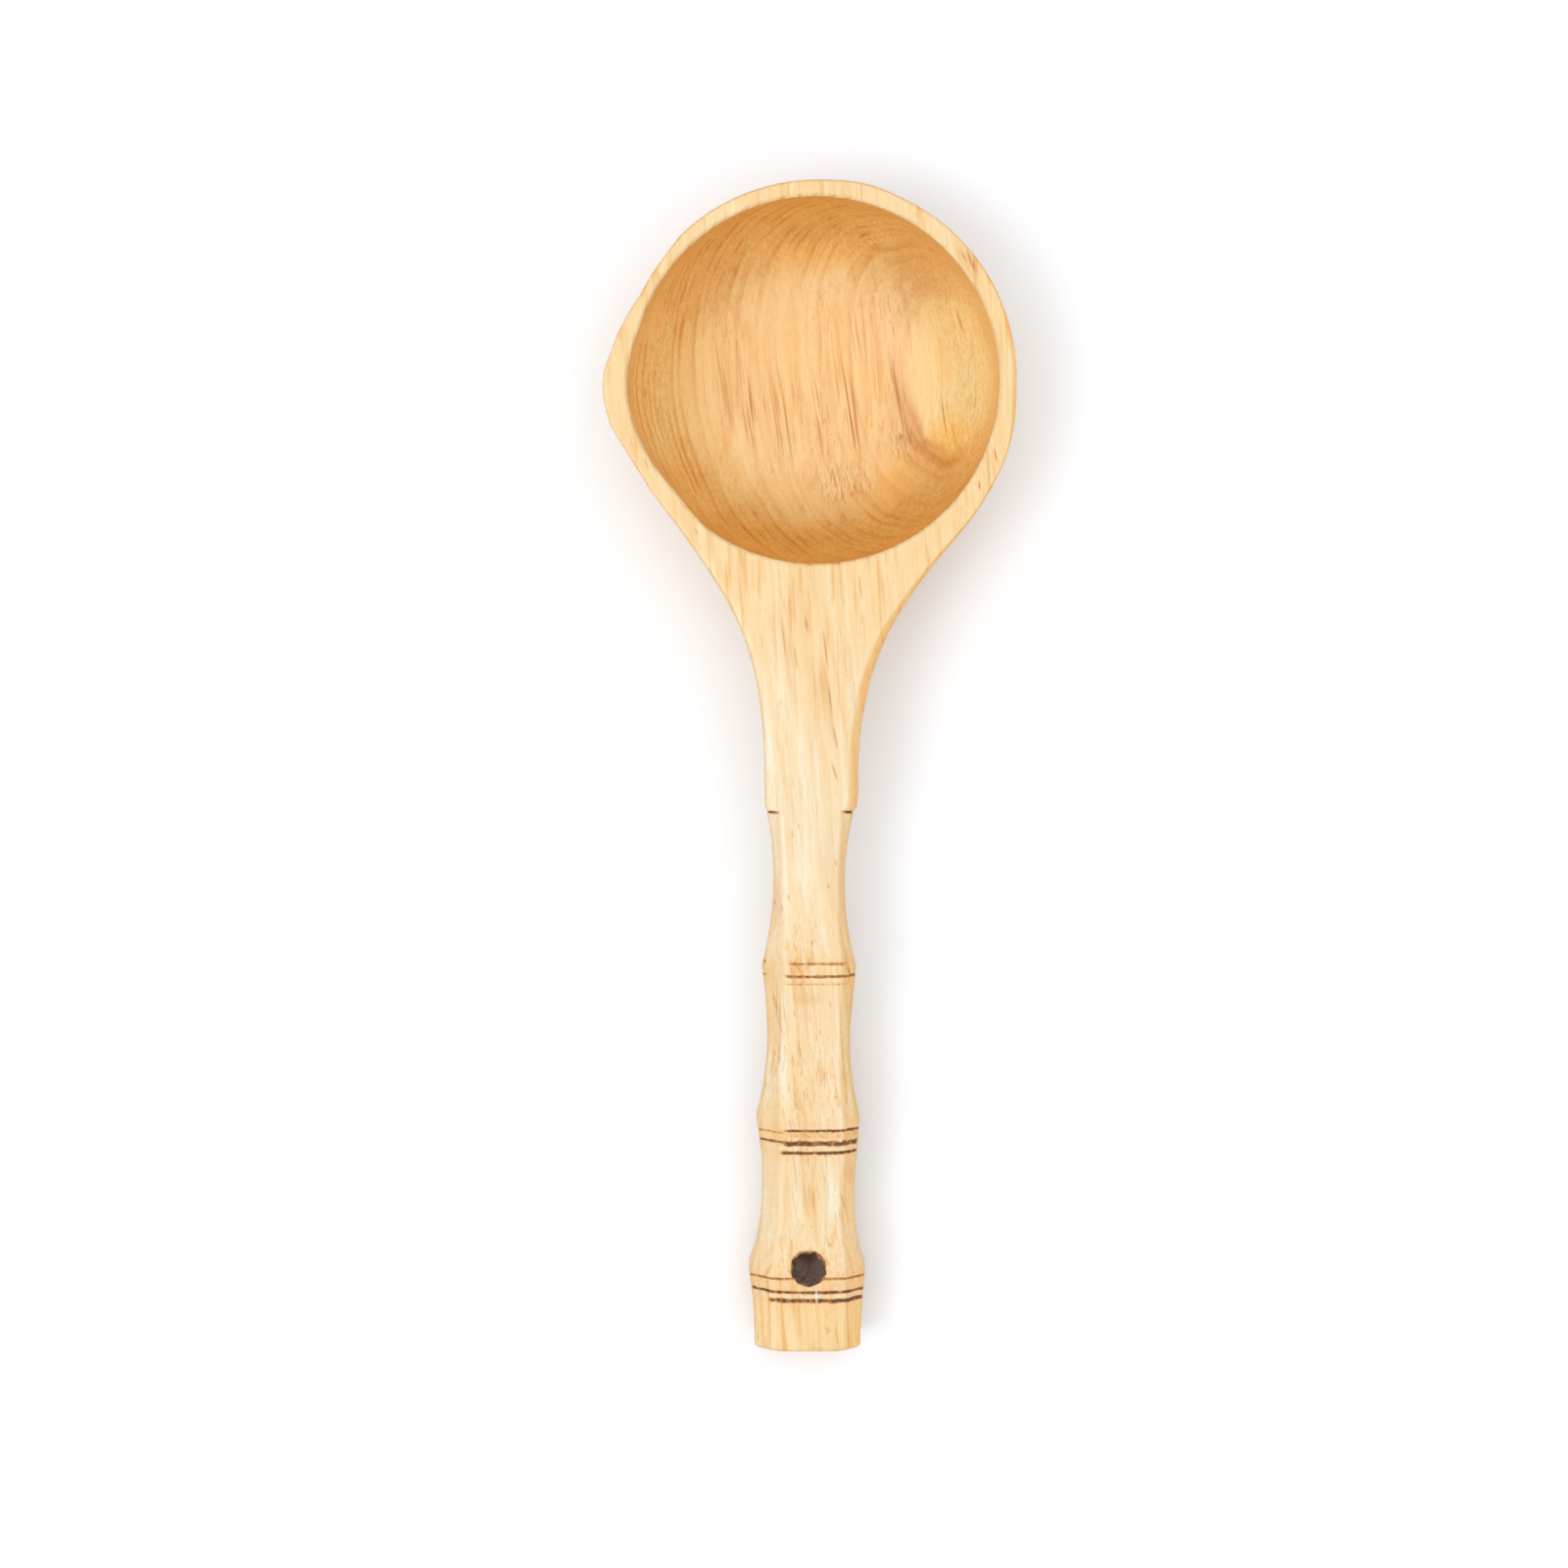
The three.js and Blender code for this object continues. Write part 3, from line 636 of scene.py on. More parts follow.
bowl_wood = wood_material(
    "bowl_outside_wood",
    {
        "Pore Strength": 0.28, "Streak Strength": 1.0, "Steep Painted Shade": 0.75, "Edge Painted Highlight": 0.9,
        "Right Painted Shade": 1.0,
    },
    fades=[("Creaminess", Y, CREAM_SAPWOOD, 0.0, 0.8)],
    marks=[(MARK_TINT, RIM_AND_NECK_MARKS), (PALE_TINT, RIM_PAINTED_HIGHLIGHT)],
)
hollow_wood = wood_material(
    "oiled_hollow_wood",
    {
        "Pale": (0.875, 0.62, 0.275, 1), "Warm": (0.80, 0.485, 0.165, 1), "Cream": (1.0, 0.86, 0.55, 1),
        "Pore Strength": 0.5, "Streak Strength": 0.6, "Fleck Strength": 0.52, "Deepening": 1.0,
        "Steep Painted Shade": 0.0, "Wall Painted Light": 0.9, "Plain Roughness": 0.28,
    },
    fades=[("Creaminess", Z, INNER_EDGE, 0.0, 1.0), ("Line Strength", X, FAINT_SIDE, 0.9, 0.4)],
    marks=[(MARK_TINT, HOLLOW_MARKS), (PALE_TINT, HOLLOW_PAINTED_LIGHT), (GOLDEN_TINT, HOLLOW_GOLDEN)],
    bundles=[(LONG_WAVES, HOLLOW_BUNDLES), (SHORT_WAVES, HOLLOW_TICKS)],
)
handle_wood = wood_material(
    "scorched_handle_wood",
    {
        "Dark Layer Strength": 0.0, "Streak Strength": 1.0, "Steep Painted Shade": 0.4, "Edge Painted Highlight": 0.5,
        "Right Painted Shade": 0.6,
    },
    fades=[
        ("Creaminess", Y, END_BLOCK, 0.8, 0.0), ("Pore Strength", Y, PAST_SHOULDER, 0.28, 0.55),
        ("Layer Contrast", Y, PAST_SHOULDER, 0.6, 0.72),
    ],
    marks=[(MARK_TINT, HANDLE_MARKS), (PALE_TINT, HANDLE_PALE_AND_HIGHLIGHT)],
    scorched=True,
    checks=HOLE_CHECK,
)
peg_wood = wood_material("darker_peg_wood", {
    "Pale": (0.62, 0.36, 0.14, 1), "Warm": (0.45, 0.22, 0.07, 1), "Dark Layer Strength": 0.0,
})
print("materials:", [m.name for m in (bowl_wood, hollow_wood, handle_wood, peg_wood)])

# %% [markdown]
# The hanging hole was burnt right through. Its wall is brown-black and crusty at the mouth. Deeper down it
# is painted paler brown: painted light that makes up for the shade deep in the narrow hole. It gets its own
# material.

# %% Burnt wall of the hanging hole
CHARRED_WALL = (0.22, 0.145, 0.11, 1)
CRUSTY_WALL = (0.42, 0.30, 0.24, 1)
# Painted light: the deep part of the hole's wall is paler, making up for the shade in the hole
DEEP_WALL_PAINTED_LIGHT = (0.84, 0.67, 0.56, 1)
MOUTH_HEIGHT = 0.021
PAINTED_LIGHT_HEIGHT = 0.009
CRUST_SCALE = 900.0

hole_wall, tree, shader = new_material("burnt_hole_wall")
point = output_of(tree, "ShaderNodeTexCoord", output="Object")
crust = noise(CRUST_SCALE, 4.0, Vector=point)
height = split(point)[Z]
colour = blend(ramp(crust, 0.35, 0.7), CHARRED_WALL, CRUSTY_WALL)
connect(shader, {
    "Base Color": blend(ramp(height, MOUTH_HEIGHT, PAINTED_LIGHT_HEIGHT), colour, DEEP_WALL_PAINTED_LIGHT),
    "Roughness": 0.85,
    "Specular IOR Level": 0.2,
    "Normal": made("ShaderNodeBump", {"Height": crust, "Strength": 0.5, "Distance": 0.0004}),
})
print("material:", hole_wall.name)

# %% [markdown]
# ## Outline of the bowl and neck
# Seen from above, the outline is the rim's circle, a pouring lip drawn as a smaller circle with tangents to
# it, and an S-curve on each side that runs into the straight neck. Hand sanding left it a little fuller or
# leaner in some places, which are small swellings on the radius. Arcs and curves stay smooth, where a
# traced outline would show each of its points.

# %% Curves of the outline
OUTLINE_STEPS = 160
# Direction, half width in degrees, and how far the outline swells there
SANDED_SWELLINGS = [
    (200, 13, 1.55), (211, 20, 0.8), (153, 21, -0.65), (166, 9, -0.45), (141, 10, -0.4), (76, 14, 0.4),
    (-18, 18, 0.5), (-55, 15, -0.3),
]


def arc(centre, radius, start, stop):
    turn = np.linspace(start, stop, OUTLINE_STEPS)
    return np.column_stack([centre[0] + radius * np.cos(turn), centre[1] + radius * np.sin(turn)])


def flare(start, direction, pulls, neck_x):
    """An S-curve from the rim to the straight neck, and the neck down to the shoulder."""
    neck = np.array([neck_x, NECK_STRAIGHT_LENGTH - SHOULDER_DISTANCE])
    first = start + np.array(direction) * pulls[0]
    second = neck + np.array([0, pulls[1]])
    t = np.linspace(0, 1, OUTLINE_STEPS)[:, None]
    curve = (1 - t) ** 3 * start + 3 * (1 - t) ** 2 * t * first
    curve = curve + 3 * (1 - t) * t ** 2 * second + t ** 3 * neck
    return np.vstack([curve, [neck_x, -SHOULDER_DISTANCE]])


def sanded(*stretches):
    outline = np.vstack(stretches)
    turn = np.degrees(np.arctan2(outline[:, 1], outline[:, 0]))
    reach = np.hypot(outline[:, 0], outline[:, 1])
    grown = reach.copy()
    for direction, half_width, swelling in SANDED_SWELLINGS:
        away = np.abs((turn - direction + 180) % 360 - 180) / half_width
        grown += swelling * np.cos(np.minimum(away, 1) * math.pi / 2) ** 2
    return outline * (grown / reach)[:, None]


print(f"{len(SANDED_SWELLINGS)} sanded places")

# %% Outline of the bowl and neck
FRONT_MARGIN = 0.3


def right_outline():
    rim = arc((0, 0), bowl_radius, math.pi / 2, FLARE_START_RIGHT)
    direction = (math.sin(FLARE_START_RIGHT), -math.cos(FLARE_START_RIGHT))
    return sanded(rim, flare(rim[-1], direction, FLARE_PULLS_RIGHT, NECK_SHIFT_X + NECK_WIDTH / 2))


def left_outline():
    tip_distance = bowl_radius + LIP_REACH - LIP_TIP_RADIUS
    tip = (tip_distance * math.cos(LIP_DIRECTION), tip_distance * math.sin(LIP_DIRECTION))
    tangent = math.acos((bowl_radius - LIP_TIP_RADIUS) / tip_distance)
    first, last = LIP_DIRECTION - tangent, LIP_DIRECTION + tangent
    rim = arc((0, 0), bowl_radius, math.pi / 2, first)
    lip = arc(tip, LIP_TIP_RADIUS, first, last)
    start = bowl_radius * np.array([math.cos(last), math.sin(last)])
    direction = (-math.sin(last), math.cos(last))
    return sanded(rim, lip, flare(start, direction, FLARE_PULLS_LEFT, NECK_SHIFT_X - NECK_WIDTH / 2))


right_side = right_outline()
left_side = left_outline()


def side_x(outline, y):
    """Where an outline that runs from the front to the shoulder crosses the line at y."""
    return float(np.interp(-y, -outline[:, 1], outline[:, 0]))


def rim_reach(turn):
    """How far the outline lies from the middle of the bowl, at a turn in the front half."""
    outline = left_side if turn > math.pi / 2 else right_side[::-1]
    turns = np.arctan2(outline[:, 1], outline[:, 0])
    turns = np.where(turns < -math.pi / 2, turns + 2 * math.pi, turns)
    front = (turns > -FRONT_MARGIN) & (turns < math.pi + FRONT_MARGIN)
    return float(np.interp(turn, turns[front], np.hypot(outline[front, 0], outline[front, 1])))


print(f"outline spans {left_side[:, 0].min():.1f} to {right_side[:, 0].max():.1f} mm across")

# %% [markdown]
# ## Outside of the bowl
# The body is a loft through ribs. Behind the middle of the bowl each rib is half a cross-section of the
# body, and in front of it the ribs fan out from the middle. Every rib starts on the middle of the flat top,
# turns over the edge, and runs down the rounded side to the keel. The edge is softly rounded on the left,
# and cut to a bevel on the right of the rim and neck.

# %% Rules for the outside of the bowl
# Edges: width, height and fullness
RIM_EDGE = (1.0, 1.0, 2.0)
RIM_BEVEL = (1.9, 1.7, 1.4)
NECK_EDGE_LEFT = (3.0, 1.5, 2.0)
NECK_EDGE_RIGHT = (3.0, 2.6, 1.25)
RIM_BEVEL_MIDDLE = 2
RIM_BEVEL_HALF = 24
RIM_BEVEL_FULL = 0.3
EDGE_CHANGE_FROM = 22
EDGE_CHANGE_TO = 80
SHOULDER_ROUND_LENGTH = 6
SHOULDER_ROUND_LEFT = 0.55
SHOULDER_ROUND_RIGHT = 1.25


def ease(value, start, stop):
    share = np.clip((value - start) / (stop - start), 0, 1)
    return share * share * (3 - 2 * share)


def mixed(first, second, share):
    return [a + (b - a) * share for a, b in zip(first, second)]


def rim_edge(x, y):
    """Soft round edge, with a bevel on the right of the rim."""
    near = min(1, abs(y - RIM_BEVEL_MIDDLE) / RIM_BEVEL_HALF) if x > 0 else 1
    return mixed(RIM_EDGE, RIM_BEVEL, 1 - ease(near, RIM_BEVEL_FULL, 1))


def top_height(y):
    past = max(0, -y - BEND_DISTANCE)
    return rim_height - slope * past * past / (2 * bend_length)


def round_depth(distance):
    foot_share = (FOOT_DIAMETER / 2 / bowl_radius) ** OUTSIDE_FULLNESS
    full_depth = rim_height / (1 - foot_share) ** (1 / OUTSIDE_FULLNESS)
    share = min(1, abs(distance) / bowl_radius) ** OUTSIDE_FULLNESS
    return full_depth * (1 - share) ** (1 / OUTSIDE_FULLNESS)


def wood_depth(y):
    bowl = round_depth(y)
    if y >= 0:
        return bowl
    along = np.clip((-y - bowl_radius) / (SHOULDER_DISTANCE - bowl_radius), 0, 1)
    neck = NECK_ROOT_THICKNESS + (NECK_THICKNESS - NECK_ROOT_THICKNESS) * along
    overlap = max(0, ROOT_BLEND - abs(bowl - neck)) / ROOT_BLEND
    return max(bowl, neck) + overlap * overlap * ROOT_BLEND / 4


neck_depth = wood_depth(-SHOULDER_DISTANCE)
print(f"bowl {round_depth(0):.1f} mm deep before the foot is cut, neck {neck_depth:.1f} mm")

# %% Ribs of the bowl
EDGE_STEPS = 7
SIDE_STEPS = 44
TOP_SUPPORT = 0.35
STATION_STEP = 1.0
FAN_STEPS = 170
FOOT_SOFTNESS = 0.5
TOP_STEPS = np.array([0, 0.4, 0.75, 1])


def rib(reach, top, depth, fullness, edge):
    """Distance from the middle and height of each point, from the middle of the top to the keel."""
    width, height, edge_fullness = edge
    flat = TOP_STEPS * (reach - width - TOP_SUPPORT)
    turn = np.linspace(math.pi / 2, 0, EDGE_STEPS + 1)
    edge_out = reach - width + width * np.clip(np.cos(turn), 0, 1) ** (2 / edge_fullness)
    edge_up = top - height + height * np.sin(turn) ** (2 / edge_fullness)
    first = math.asin(min(1, height / depth) ** (fullness / 2))
    angle = np.linspace(first, math.pi / 2, SIDE_STEPS + 1)[1:]
    side_out = reach * np.clip(np.cos(angle), 0, 1) ** (2 / fullness)
    side_out[-1] = 0
    side_up = top - depth * np.sin(angle) ** (2 / fullness)
    out = np.concatenate([flat, edge_out, side_out])
    return out, np.concatenate([np.full(len(flat), top), edge_up, side_up])


def section_rib(y, outline, neck_edge, shoulder_round):
    keel = NECK_SHIFT_X * ease(-y, 0, BEND_DISTANCE)
    to_neck = ease(-y, bowl_radius - ROOT_BLEND, bowl_radius + ROOT_BLEND)
    fullness = OUTSIDE_FULLNESS + (NECK_FULLNESS - OUTSIDE_FULLNESS) * to_neck
    change = ease(-y, EDGE_CHANGE_FROM, EDGE_CHANGE_TO)
    to_shoulder = max(0, 1 - (y + SHOULDER_DISTANCE) / SHOULDER_ROUND_LENGTH)
    inset = shoulder_round * (1 - math.sqrt(1 - to_shoulder ** 2))
    reach = side_x(outline, y) - keel
    edge = mixed(rim_edge(reach, y), neck_edge, change)
    out, up = rib(abs(reach) - inset, top_height(y), wood_depth(y), fullness, edge)
    return np.column_stack([keel + out * np.sign(reach), np.full_like(out, y), up])


def fan_rib(turn):
    reach = rim_reach(turn)
    edge = rim_edge(math.cos(turn), reach * math.sin(turn))
    out, up = rib(reach, rim_height, round_depth(0), OUTSIDE_FULLNESS, edge)
    return np.column_stack([out * math.cos(turn), out * math.sin(turn), up])


stations = np.linspace(-SHOULDER_DISTANCE, 0, round(SHOULDER_DISTANCE / STATION_STEP) + 1)
ribs = [section_rib(y, right_side, NECK_EDGE_RIGHT, SHOULDER_ROUND_RIGHT) for y in stations]
ribs += [fan_rib(turn) for turn in np.linspace(0, math.pi, FAN_STEPS + 1)[1:-1]]
ribs += [section_rib(y, left_side, NECK_EDGE_LEFT, SHOULDER_ROUND_LEFT) for y in stations[::-1]]
for points in ribs:
    points[:, 2] = (points[:, 2] + np.sqrt(points[:, 2] ** 2 + FOOT_SOFTNESS ** 2)) / 2
print(f"{len(ribs)} ribs of {len(ribs[0])} points")

# %% [markdown]
# A loft joins rows of points with four-sided faces. The points are in millimetres and go into the mesh in
# metres, so that every finished piece sits at the origin with its place in its mesh.

# %% Loft the outside of the bowl
SAME_POINT = 0.0005
NO_LENGTH = 0.0002


def mesh_piece(name, points, faces, material):
    mesh = bpy.data.meshes.new(name)
    mesh.from_pydata((np.asarray(points) * MM).tolist(), [], faces)
    solid = bmesh.new()
    solid.from_mesh(mesh)
    bmesh.ops.remove_doubles(solid, verts=solid.verts, dist=SAME_POINT * MM)
    bmesh.ops.dissolve_degenerate(solid, edges=solid.edges, dist=NO_LENGTH * MM)
    bmesh.ops.recalc_face_normals(solid, faces=solid.faces)
    solid.to_mesh(mesh)
    solid.free()
    mesh.materials.append(material)
    return show(name, mesh)


def loft(name, rings, closed, material):
    """Joins rows of points of equal length. A closed row runs round and gets a cap on each end."""
    count = len(rings[0])
    faces = []
    for i in range(len(rings) - 1):
        for k in range(count if closed else count - 1):
            here, there = i * count + k, i * count + (k + 1) % count
            faces.append((here, there, there + count, here + count))
    first = list(range(count))
    last = [(len(rings) - 1) * count + k for k in first]
    faces += [first, last] if closed else [first + last[::-1]]
    return mesh_piece(name, np.vstack(rings), faces, material)


bowl = loft("ladle_bowl", ribs, False, bowl_wood)
print("outside of the bowl:", len(bowl.data.polygons), "faces")

# %% [markdown]
# ## Hollow
# The hollow is a turned shape with a rule: a superellipse spun about an upright axis, with a shallow
# channel towards the lip that fades out on the way down, and a place beside the lip where the mouth is cut
# in less. Geometry Nodes spin it: a flat grid is wrapped so that one direction goes round and the other
# goes down the wall. The result is the tool that cuts the bowl, and its material stays on the cut. A rule
# like this is easier to change than a sculpted hollow.

# %% Sizes of the hollow
INNER_EDGE_EASE = 0.8
INNER_EDGE_DROP = 0.28
HOLLOW_LIFT = 2.0
MOUTH_SHOULDER_DEPTH = -1.2
HOLLOW_INPUTS = {
    "Sides": 288,
    "Rings": 72,
    "Mouth Radius": (MOUTH_DIAMETER / 2 - INNER_EDGE_EASE) * MM,
    "Depth": BOWL_DEPTH * MM,
    "Fullness": HOLLOW_FULLNESS,
    "Rim Height": rim_height * MM,
    "Shift X": HOLLOW_SHIFT_X * MM,
    "Shift Y": HOLLOW_SHIFT_Y * MM,
    "Channel Depth": LIP_CHANNEL_DEPTH * MM,
    "Channel Direction": LIP_DIRECTION,
    "Channel Half Angle": LIP_CHANNEL_HALF_ANGLE,
    "Shoulder Depth": MOUTH_SHOULDER_DEPTH * MM,
    "Shoulder Direction": math.radians(219),
    "Shoulder Half Angle": math.radians(17),
    "Edge Ease": INNER_EDGE_EASE * MM,
    "Edge Drop": INNER_EDGE_DROP * MM,
    "Lift": HOLLOW_LIFT * MM,
    "Material": hollow_wood,
}
print(f"{len(HOLLOW_INPUTS)} inputs for the hollow")

# %% Hollow tree
COLLAR_ROWS = 2.0
JOIN_DISTANCE = 0.000001


def finish_tree(geometry, group_in, group_out):
    plain = made("GeometryNodeRealizeInstances", {"Geometry": geometry})
    painted = made("GeometryNodeSetMaterial", {"Geometry": plain, "Material": group_in["Material"]})
    connect(group_out, {"Geometry": painted})


hollow_rule, hollow_in, hollow_out = new_group(
    "turned hollow", "GeometryNodeTree", {"Geometry": GEOMETRY, **HOLLOW_INPUTS}, {"Geometry": GEOMETRY},
)
grid = made("GeometryNodeMeshGrid", {
    "Size X": 1.0, "Size Y": 1.0,
    "Vertices X": hollow_in["Sides"] + 1.0, "Vertices Y": hollow_in["Rings"] + 1.0,
})
across, down, _ = split(output_of(hollow_rule, "GeometryNodeInputPosition"))
turn = (across + 0.5) * (2 * math.pi)
down = down + 0.5
row = calc("DIVIDE", 1.0, hollow_in["Rings"])
collar = row * COLLAR_ROWS
share = larger((down - collar) / calc("SUBTRACT", 1.0, collar), 0.0)
angle = share * share * (math.pi / 2)
power = calc("DIVIDE", 2.0, hollow_in["Fullness"])
cosine = larger(calc("COSINE", angle), 0.0)
sunk = hollow_in["Depth"] * calc("POWER", calc("SINE", angle), power)
lifted = hollow_in["Lift"] * smaller(larger(collar - down, 0.0) / row, 1.0)
closing = smaller(down / row, 1.0)


def swelling(label):
    """A swelling of the mouth in one direction that fades out down the wall."""
    near = smaller(abs(turn - hollow_in[label + " Direction"]) / hollow_in[label + " Half Angle"], 1.0)
    bulge = calc("COSINE", near * (math.pi / 2))
    return bulge * bulge * hollow_in[label + " Depth"] * cosine


eased = hollow_in["Edge Ease"] * calc("POWER", math.e, sunk / hollow_in["Edge Drop"] * -1.0)
radius = hollow_in["Mouth Radius"] * calc("POWER", cosine, power) + eased
radius = radius + (swelling("Channel") + swelling("Shoulder"))
radius = (lifted + radius) * closing
wrapped = vector_of(
    radius * calc("COSINE", turn) + hollow_in["Shift X"], radius * calc("SINE", turn) + hollow_in["Shift Y"],
    lifted + (hollow_in["Rim Height"] - sunk),
)
spun = made("GeometryNodeSetPosition", {"Geometry": grid, "Position": wrapped})
closed = made("GeometryNodeMergeByDistance", {"Geometry": spun, "Distance": JOIN_DISTANCE})
finish_tree(closed, hollow_in, hollow_out)
print("hollow tree:", len(hollow_rule.nodes), "nodes")

# %% [markdown]
# A tree's inputs are set on the modifier by each socket's identifier. The evaluated mesh is then kept as a
# plain mesh and the modifier goes, so that only finished geometry is left.

# %% Hollow tool
TO_CM3 = 1e6


def keep_result(piece):
    bpy.context.view_layer.update()
    evaluated = piece.evaluated_get(bpy.context.evaluated_depsgraph_get())
    made_mesh = bpy.data.meshes.new_from_object(evaluated)
    made_mesh.name = piece.name
    piece.modifiers.clear()
    piece.data = made_mesh


def run_tree(piece, group, values):
    """Puts the tree on the piece with these inputs and keeps the result as a plain mesh."""
    modifier = piece.modifiers.new(group.name, "NODES")
    modifier.node_group = group
    names = {item.name: item.identifier for item in group.interface.items_tree if item.in_out == "INPUT"}
    for label, value in values.items():
        modifier[names[label]] = value
    keep_result(piece)


def face_outwards(piece):
    solid = bmesh.new()
    solid.from_mesh(piece.data)
    bmesh.ops.recalc_face_normals(solid, faces=solid.faces)
    if solid.calc_volume(signed=True) < 0:
        bmesh.ops.reverse_faces(solid, faces=solid.faces)
    solid.to_mesh(piece.data)
    open_edges = sum(not edge.is_manifold for edge in solid.edges)
    volume = solid.calc_volume() * TO_CM3
    print(f"{piece.name}: {volume:.2f} cm3, {open_edges} open edges, {len(solid.faces)} faces")
    solid.free()


hollow = show("hollow_tool", bpy.data.meshes.new("hollow_tool"))
run_tree(hollow, hollow_rule, HOLLOW_INPUTS)
face_outwards(bowl)
face_outwards(hollow)

# %% [markdown]
# ## Cutting the hollow and the joint
# The hollow, the round socket for the tenon and the hole for the peg are cut as the maker cuts them: with
# tools of their own shape. Each tool is removed after its cut.

# %% Places of the joint
TENON_DIAMETER = 10
TENON_LENGTH = 24
PEG_DIAMETER = 4.5
PEG_FROM_SHOULDER = 12
PEG_OVERRUN = 1.2
CLEARANCE = 0.3

handle_fall = math.atan(slope)
joint_place = Matrix.Translation((NECK_SHIFT_X, -SHOULDER_DISTANCE, shoulder_middle))
joint_place = joint_place @ Matrix.Rotation(handle_fall, 4, "X")
along_tenon = joint_place @ Matrix.Rotation(-math.pi / 2, 4, "X")
across_tenon = joint_place @ Matrix.Translation((0, PEG_FROM_SHOULDER, 0))
peg_y = -SHOULDER_DISTANCE + PEG_FROM_SHOULDER * math.cos(handle_fall)
peg_middle = shoulder_middle + PEG_FROM_SHOULDER * math.sin(handle_fall)
peg_bottom = top_height(peg_y) - wood_depth(peg_y) - peg_middle
peg_top = TENON_DIAMETER / 2 + PEG_OVERRUN
print(f"the peg is {peg_top - peg_bottom:.1f} mm long")

# %% Cut the bowl
ROUND_SIDES = 64
OVERCUT = 2


def carried(points, matrix):
    place = np.array(matrix)
    return points @ place[:3, :3].T + place[:3, 3]


def circle(sides):
    return np.linspace(0, 2 * math.pi, sides, endpoint=False)


def ring(turn, radius, z, x=0, y=0):
    return np.column_stack([x + radius * np.cos(turn), y + radius * np.sin(turn), np.full_like(turn, z)])


def round_bar(name, diameter, start, stop, to_joint, material):
    """A round bar along its own Z, carried to the joint by a matrix."""
    turn = circle(ROUND_SIDES)
    ends = [carried(ring(turn, diameter / 2, z), to_joint) for z in (start, stop)]
    return loft(name, ends, True, material)


def combine(piece, other, operation):
    """Cuts or joins with another closed piece, which is then removed."""
    modifier = piece.modifiers.new(operation, "BOOLEAN")
    modifier.object = other
    modifier.operation = operation
    modifier.solver = "EXACT"
    modifier.material_mode = "TRANSFER"
    keep_result(piece)
    bpy.data.objects.remove(other)


def peg_hole(material):
    diameter = PEG_DIAMETER + 2 * CLEARANCE
    return round_bar("peg_hole", diameter, peg_bottom - OVERCUT, peg_top + CLEARANCE, across_tenon, material)


socket_size = TENON_DIAMETER + 2 * CLEARANCE
socket_tool = round_bar("socket", socket_size, -OVERCUT, TENON_LENGTH + CLEARANCE, along_tenon, bowl_wood)
for tool in (hollow, socket_tool, peg_hole(bowl_wood)):
    combine(bowl, tool, "DIFFERENCE")
face_outwards(bowl)
print("materials on the bowl:", [m.name for m in bowl.data.materials])

# %% [markdown]
# ## Handle
# The handle is whittled like a cane: it swells at each node and narrows to a waist between them, and a
# knife has cut eight facets along it. A bent cylinder would have no facets, so it is lofted through
# eight-sided sections with eased corners, closer together where lines will be scored. Each point remembers
# how far along the handle it lies, because the scoring follows that.

# %% Sizes of the handle
HANDLE_LEAN_X = -0.9
END_ROUNDING = 1.3
SEAM = 0.002
TILT_LENGTH = 18
# Distance from the shoulder, width, thickness, widths of the left and right top facets, and if it is a waist
NODES_AND_WAISTS = [
    (0, 23.6, 17.5, 3.6, 3.6, False),
    (19.2, 19.4, 15.5, 3.0, 2.0, True),
    (43.3, 25.6, 19.5, 6.3, 4.0, False),
    (62.1, 22.5, 17.5, 4.3, 3.1, True),
    (84.6, 28.2, 21.5, 6.8, 4.9, False),
    (101.5, 25.4, 19.8, 5.0, 4.0, True),
    (126.4, 31.9, 24.5, 6.2, 5.6, False),
    (HANDLE_LENGTH, 29.0, HANDLE_END_THICKNESS, 5.5, 4.9, True),
]
# How each stretch between two of them swells: a higher power keeps the waist longer
SWELL_POWER = [2, 2, 1.5, 2, 1.6, 2.8, 2]
# How far the knife left the middle of the handle from its straight axis, at these distances
SIDEWAYS_AT = [0, 15, 40, 48, 60, 85, 95, 112, 126, 133, HANDLE_LENGTH]
SIDEWAYS_BY = [-0.3, -0.5, -0.4, -0.2, -0.3, -0.32, 0.1, -0.2, -0.35, -0.05, -0.05]
CAMBER = 0.035
FACET_RISE = 0.62
FACET_LEAST = 1.0
FACET_UNDER = 5.0
CORNER_ROUND_TOP = 1.0
CORNER_ROUND_SHARE = 0.42
CORNER_ROUND_UNDER = 1.8
CORNER_STEPS = 5
# Points on each edge of the section: right, lower right, under, lower left, left, top left, top, top right
EDGE_POINTS = [8, 6, 16, 6, 8, 11, 28, 9]
marks_at = [mark[0] for mark in NODES_AND_WAISTS]
print(f"{len(marks_at)} nodes and waists")

# %% Sections of the handle
def handle_sizes(at):
    """Width, thickness and facet widths: they swell on each side of a waist."""
    after = min(max(1, int(np.searchsorted(marks_at, at))), len(marks_at) - 1)
    pair = NODES_AND_WAISTS[after - 1], NODES_AND_WAISTS[after]
    waist, node = pair if pair[0][5] else pair[::-1]
    share = abs((at - waist[0]) / (node[0] - waist[0])) ** SWELL_POWER[after - 1]
    return mixed(waist[1:5], node[1:5], share)


def eased_polygon(corners, rounds):
    """Points round a polygon whose corners are eased by so much."""
    points = []
    count = len(corners)
    for k, corner in enumerate(corners):
        following = corners[(k + 1) % count]
        before = corners[k - 1] - corner
        behind = following - corner
        start = corner + before / np.linalg.norm(before) * rounds[k]
        stop = corner + behind / np.linalg.norm(behind) * rounds[k]
        onward = following - behind / np.linalg.norm(behind) * rounds[(k + 1) % count]
        for t in np.linspace(0, 1, CORNER_STEPS):
            points.append((1 - t) ** 2 * start + 2 * (1 - t) * t * corner + t * t * stop)
        for t in np.linspace(0, 1, EDGE_POINTS[k] + 2)[1:-1]:
            points.append(stop + (onward - stop) * t)
    return np.array(points)


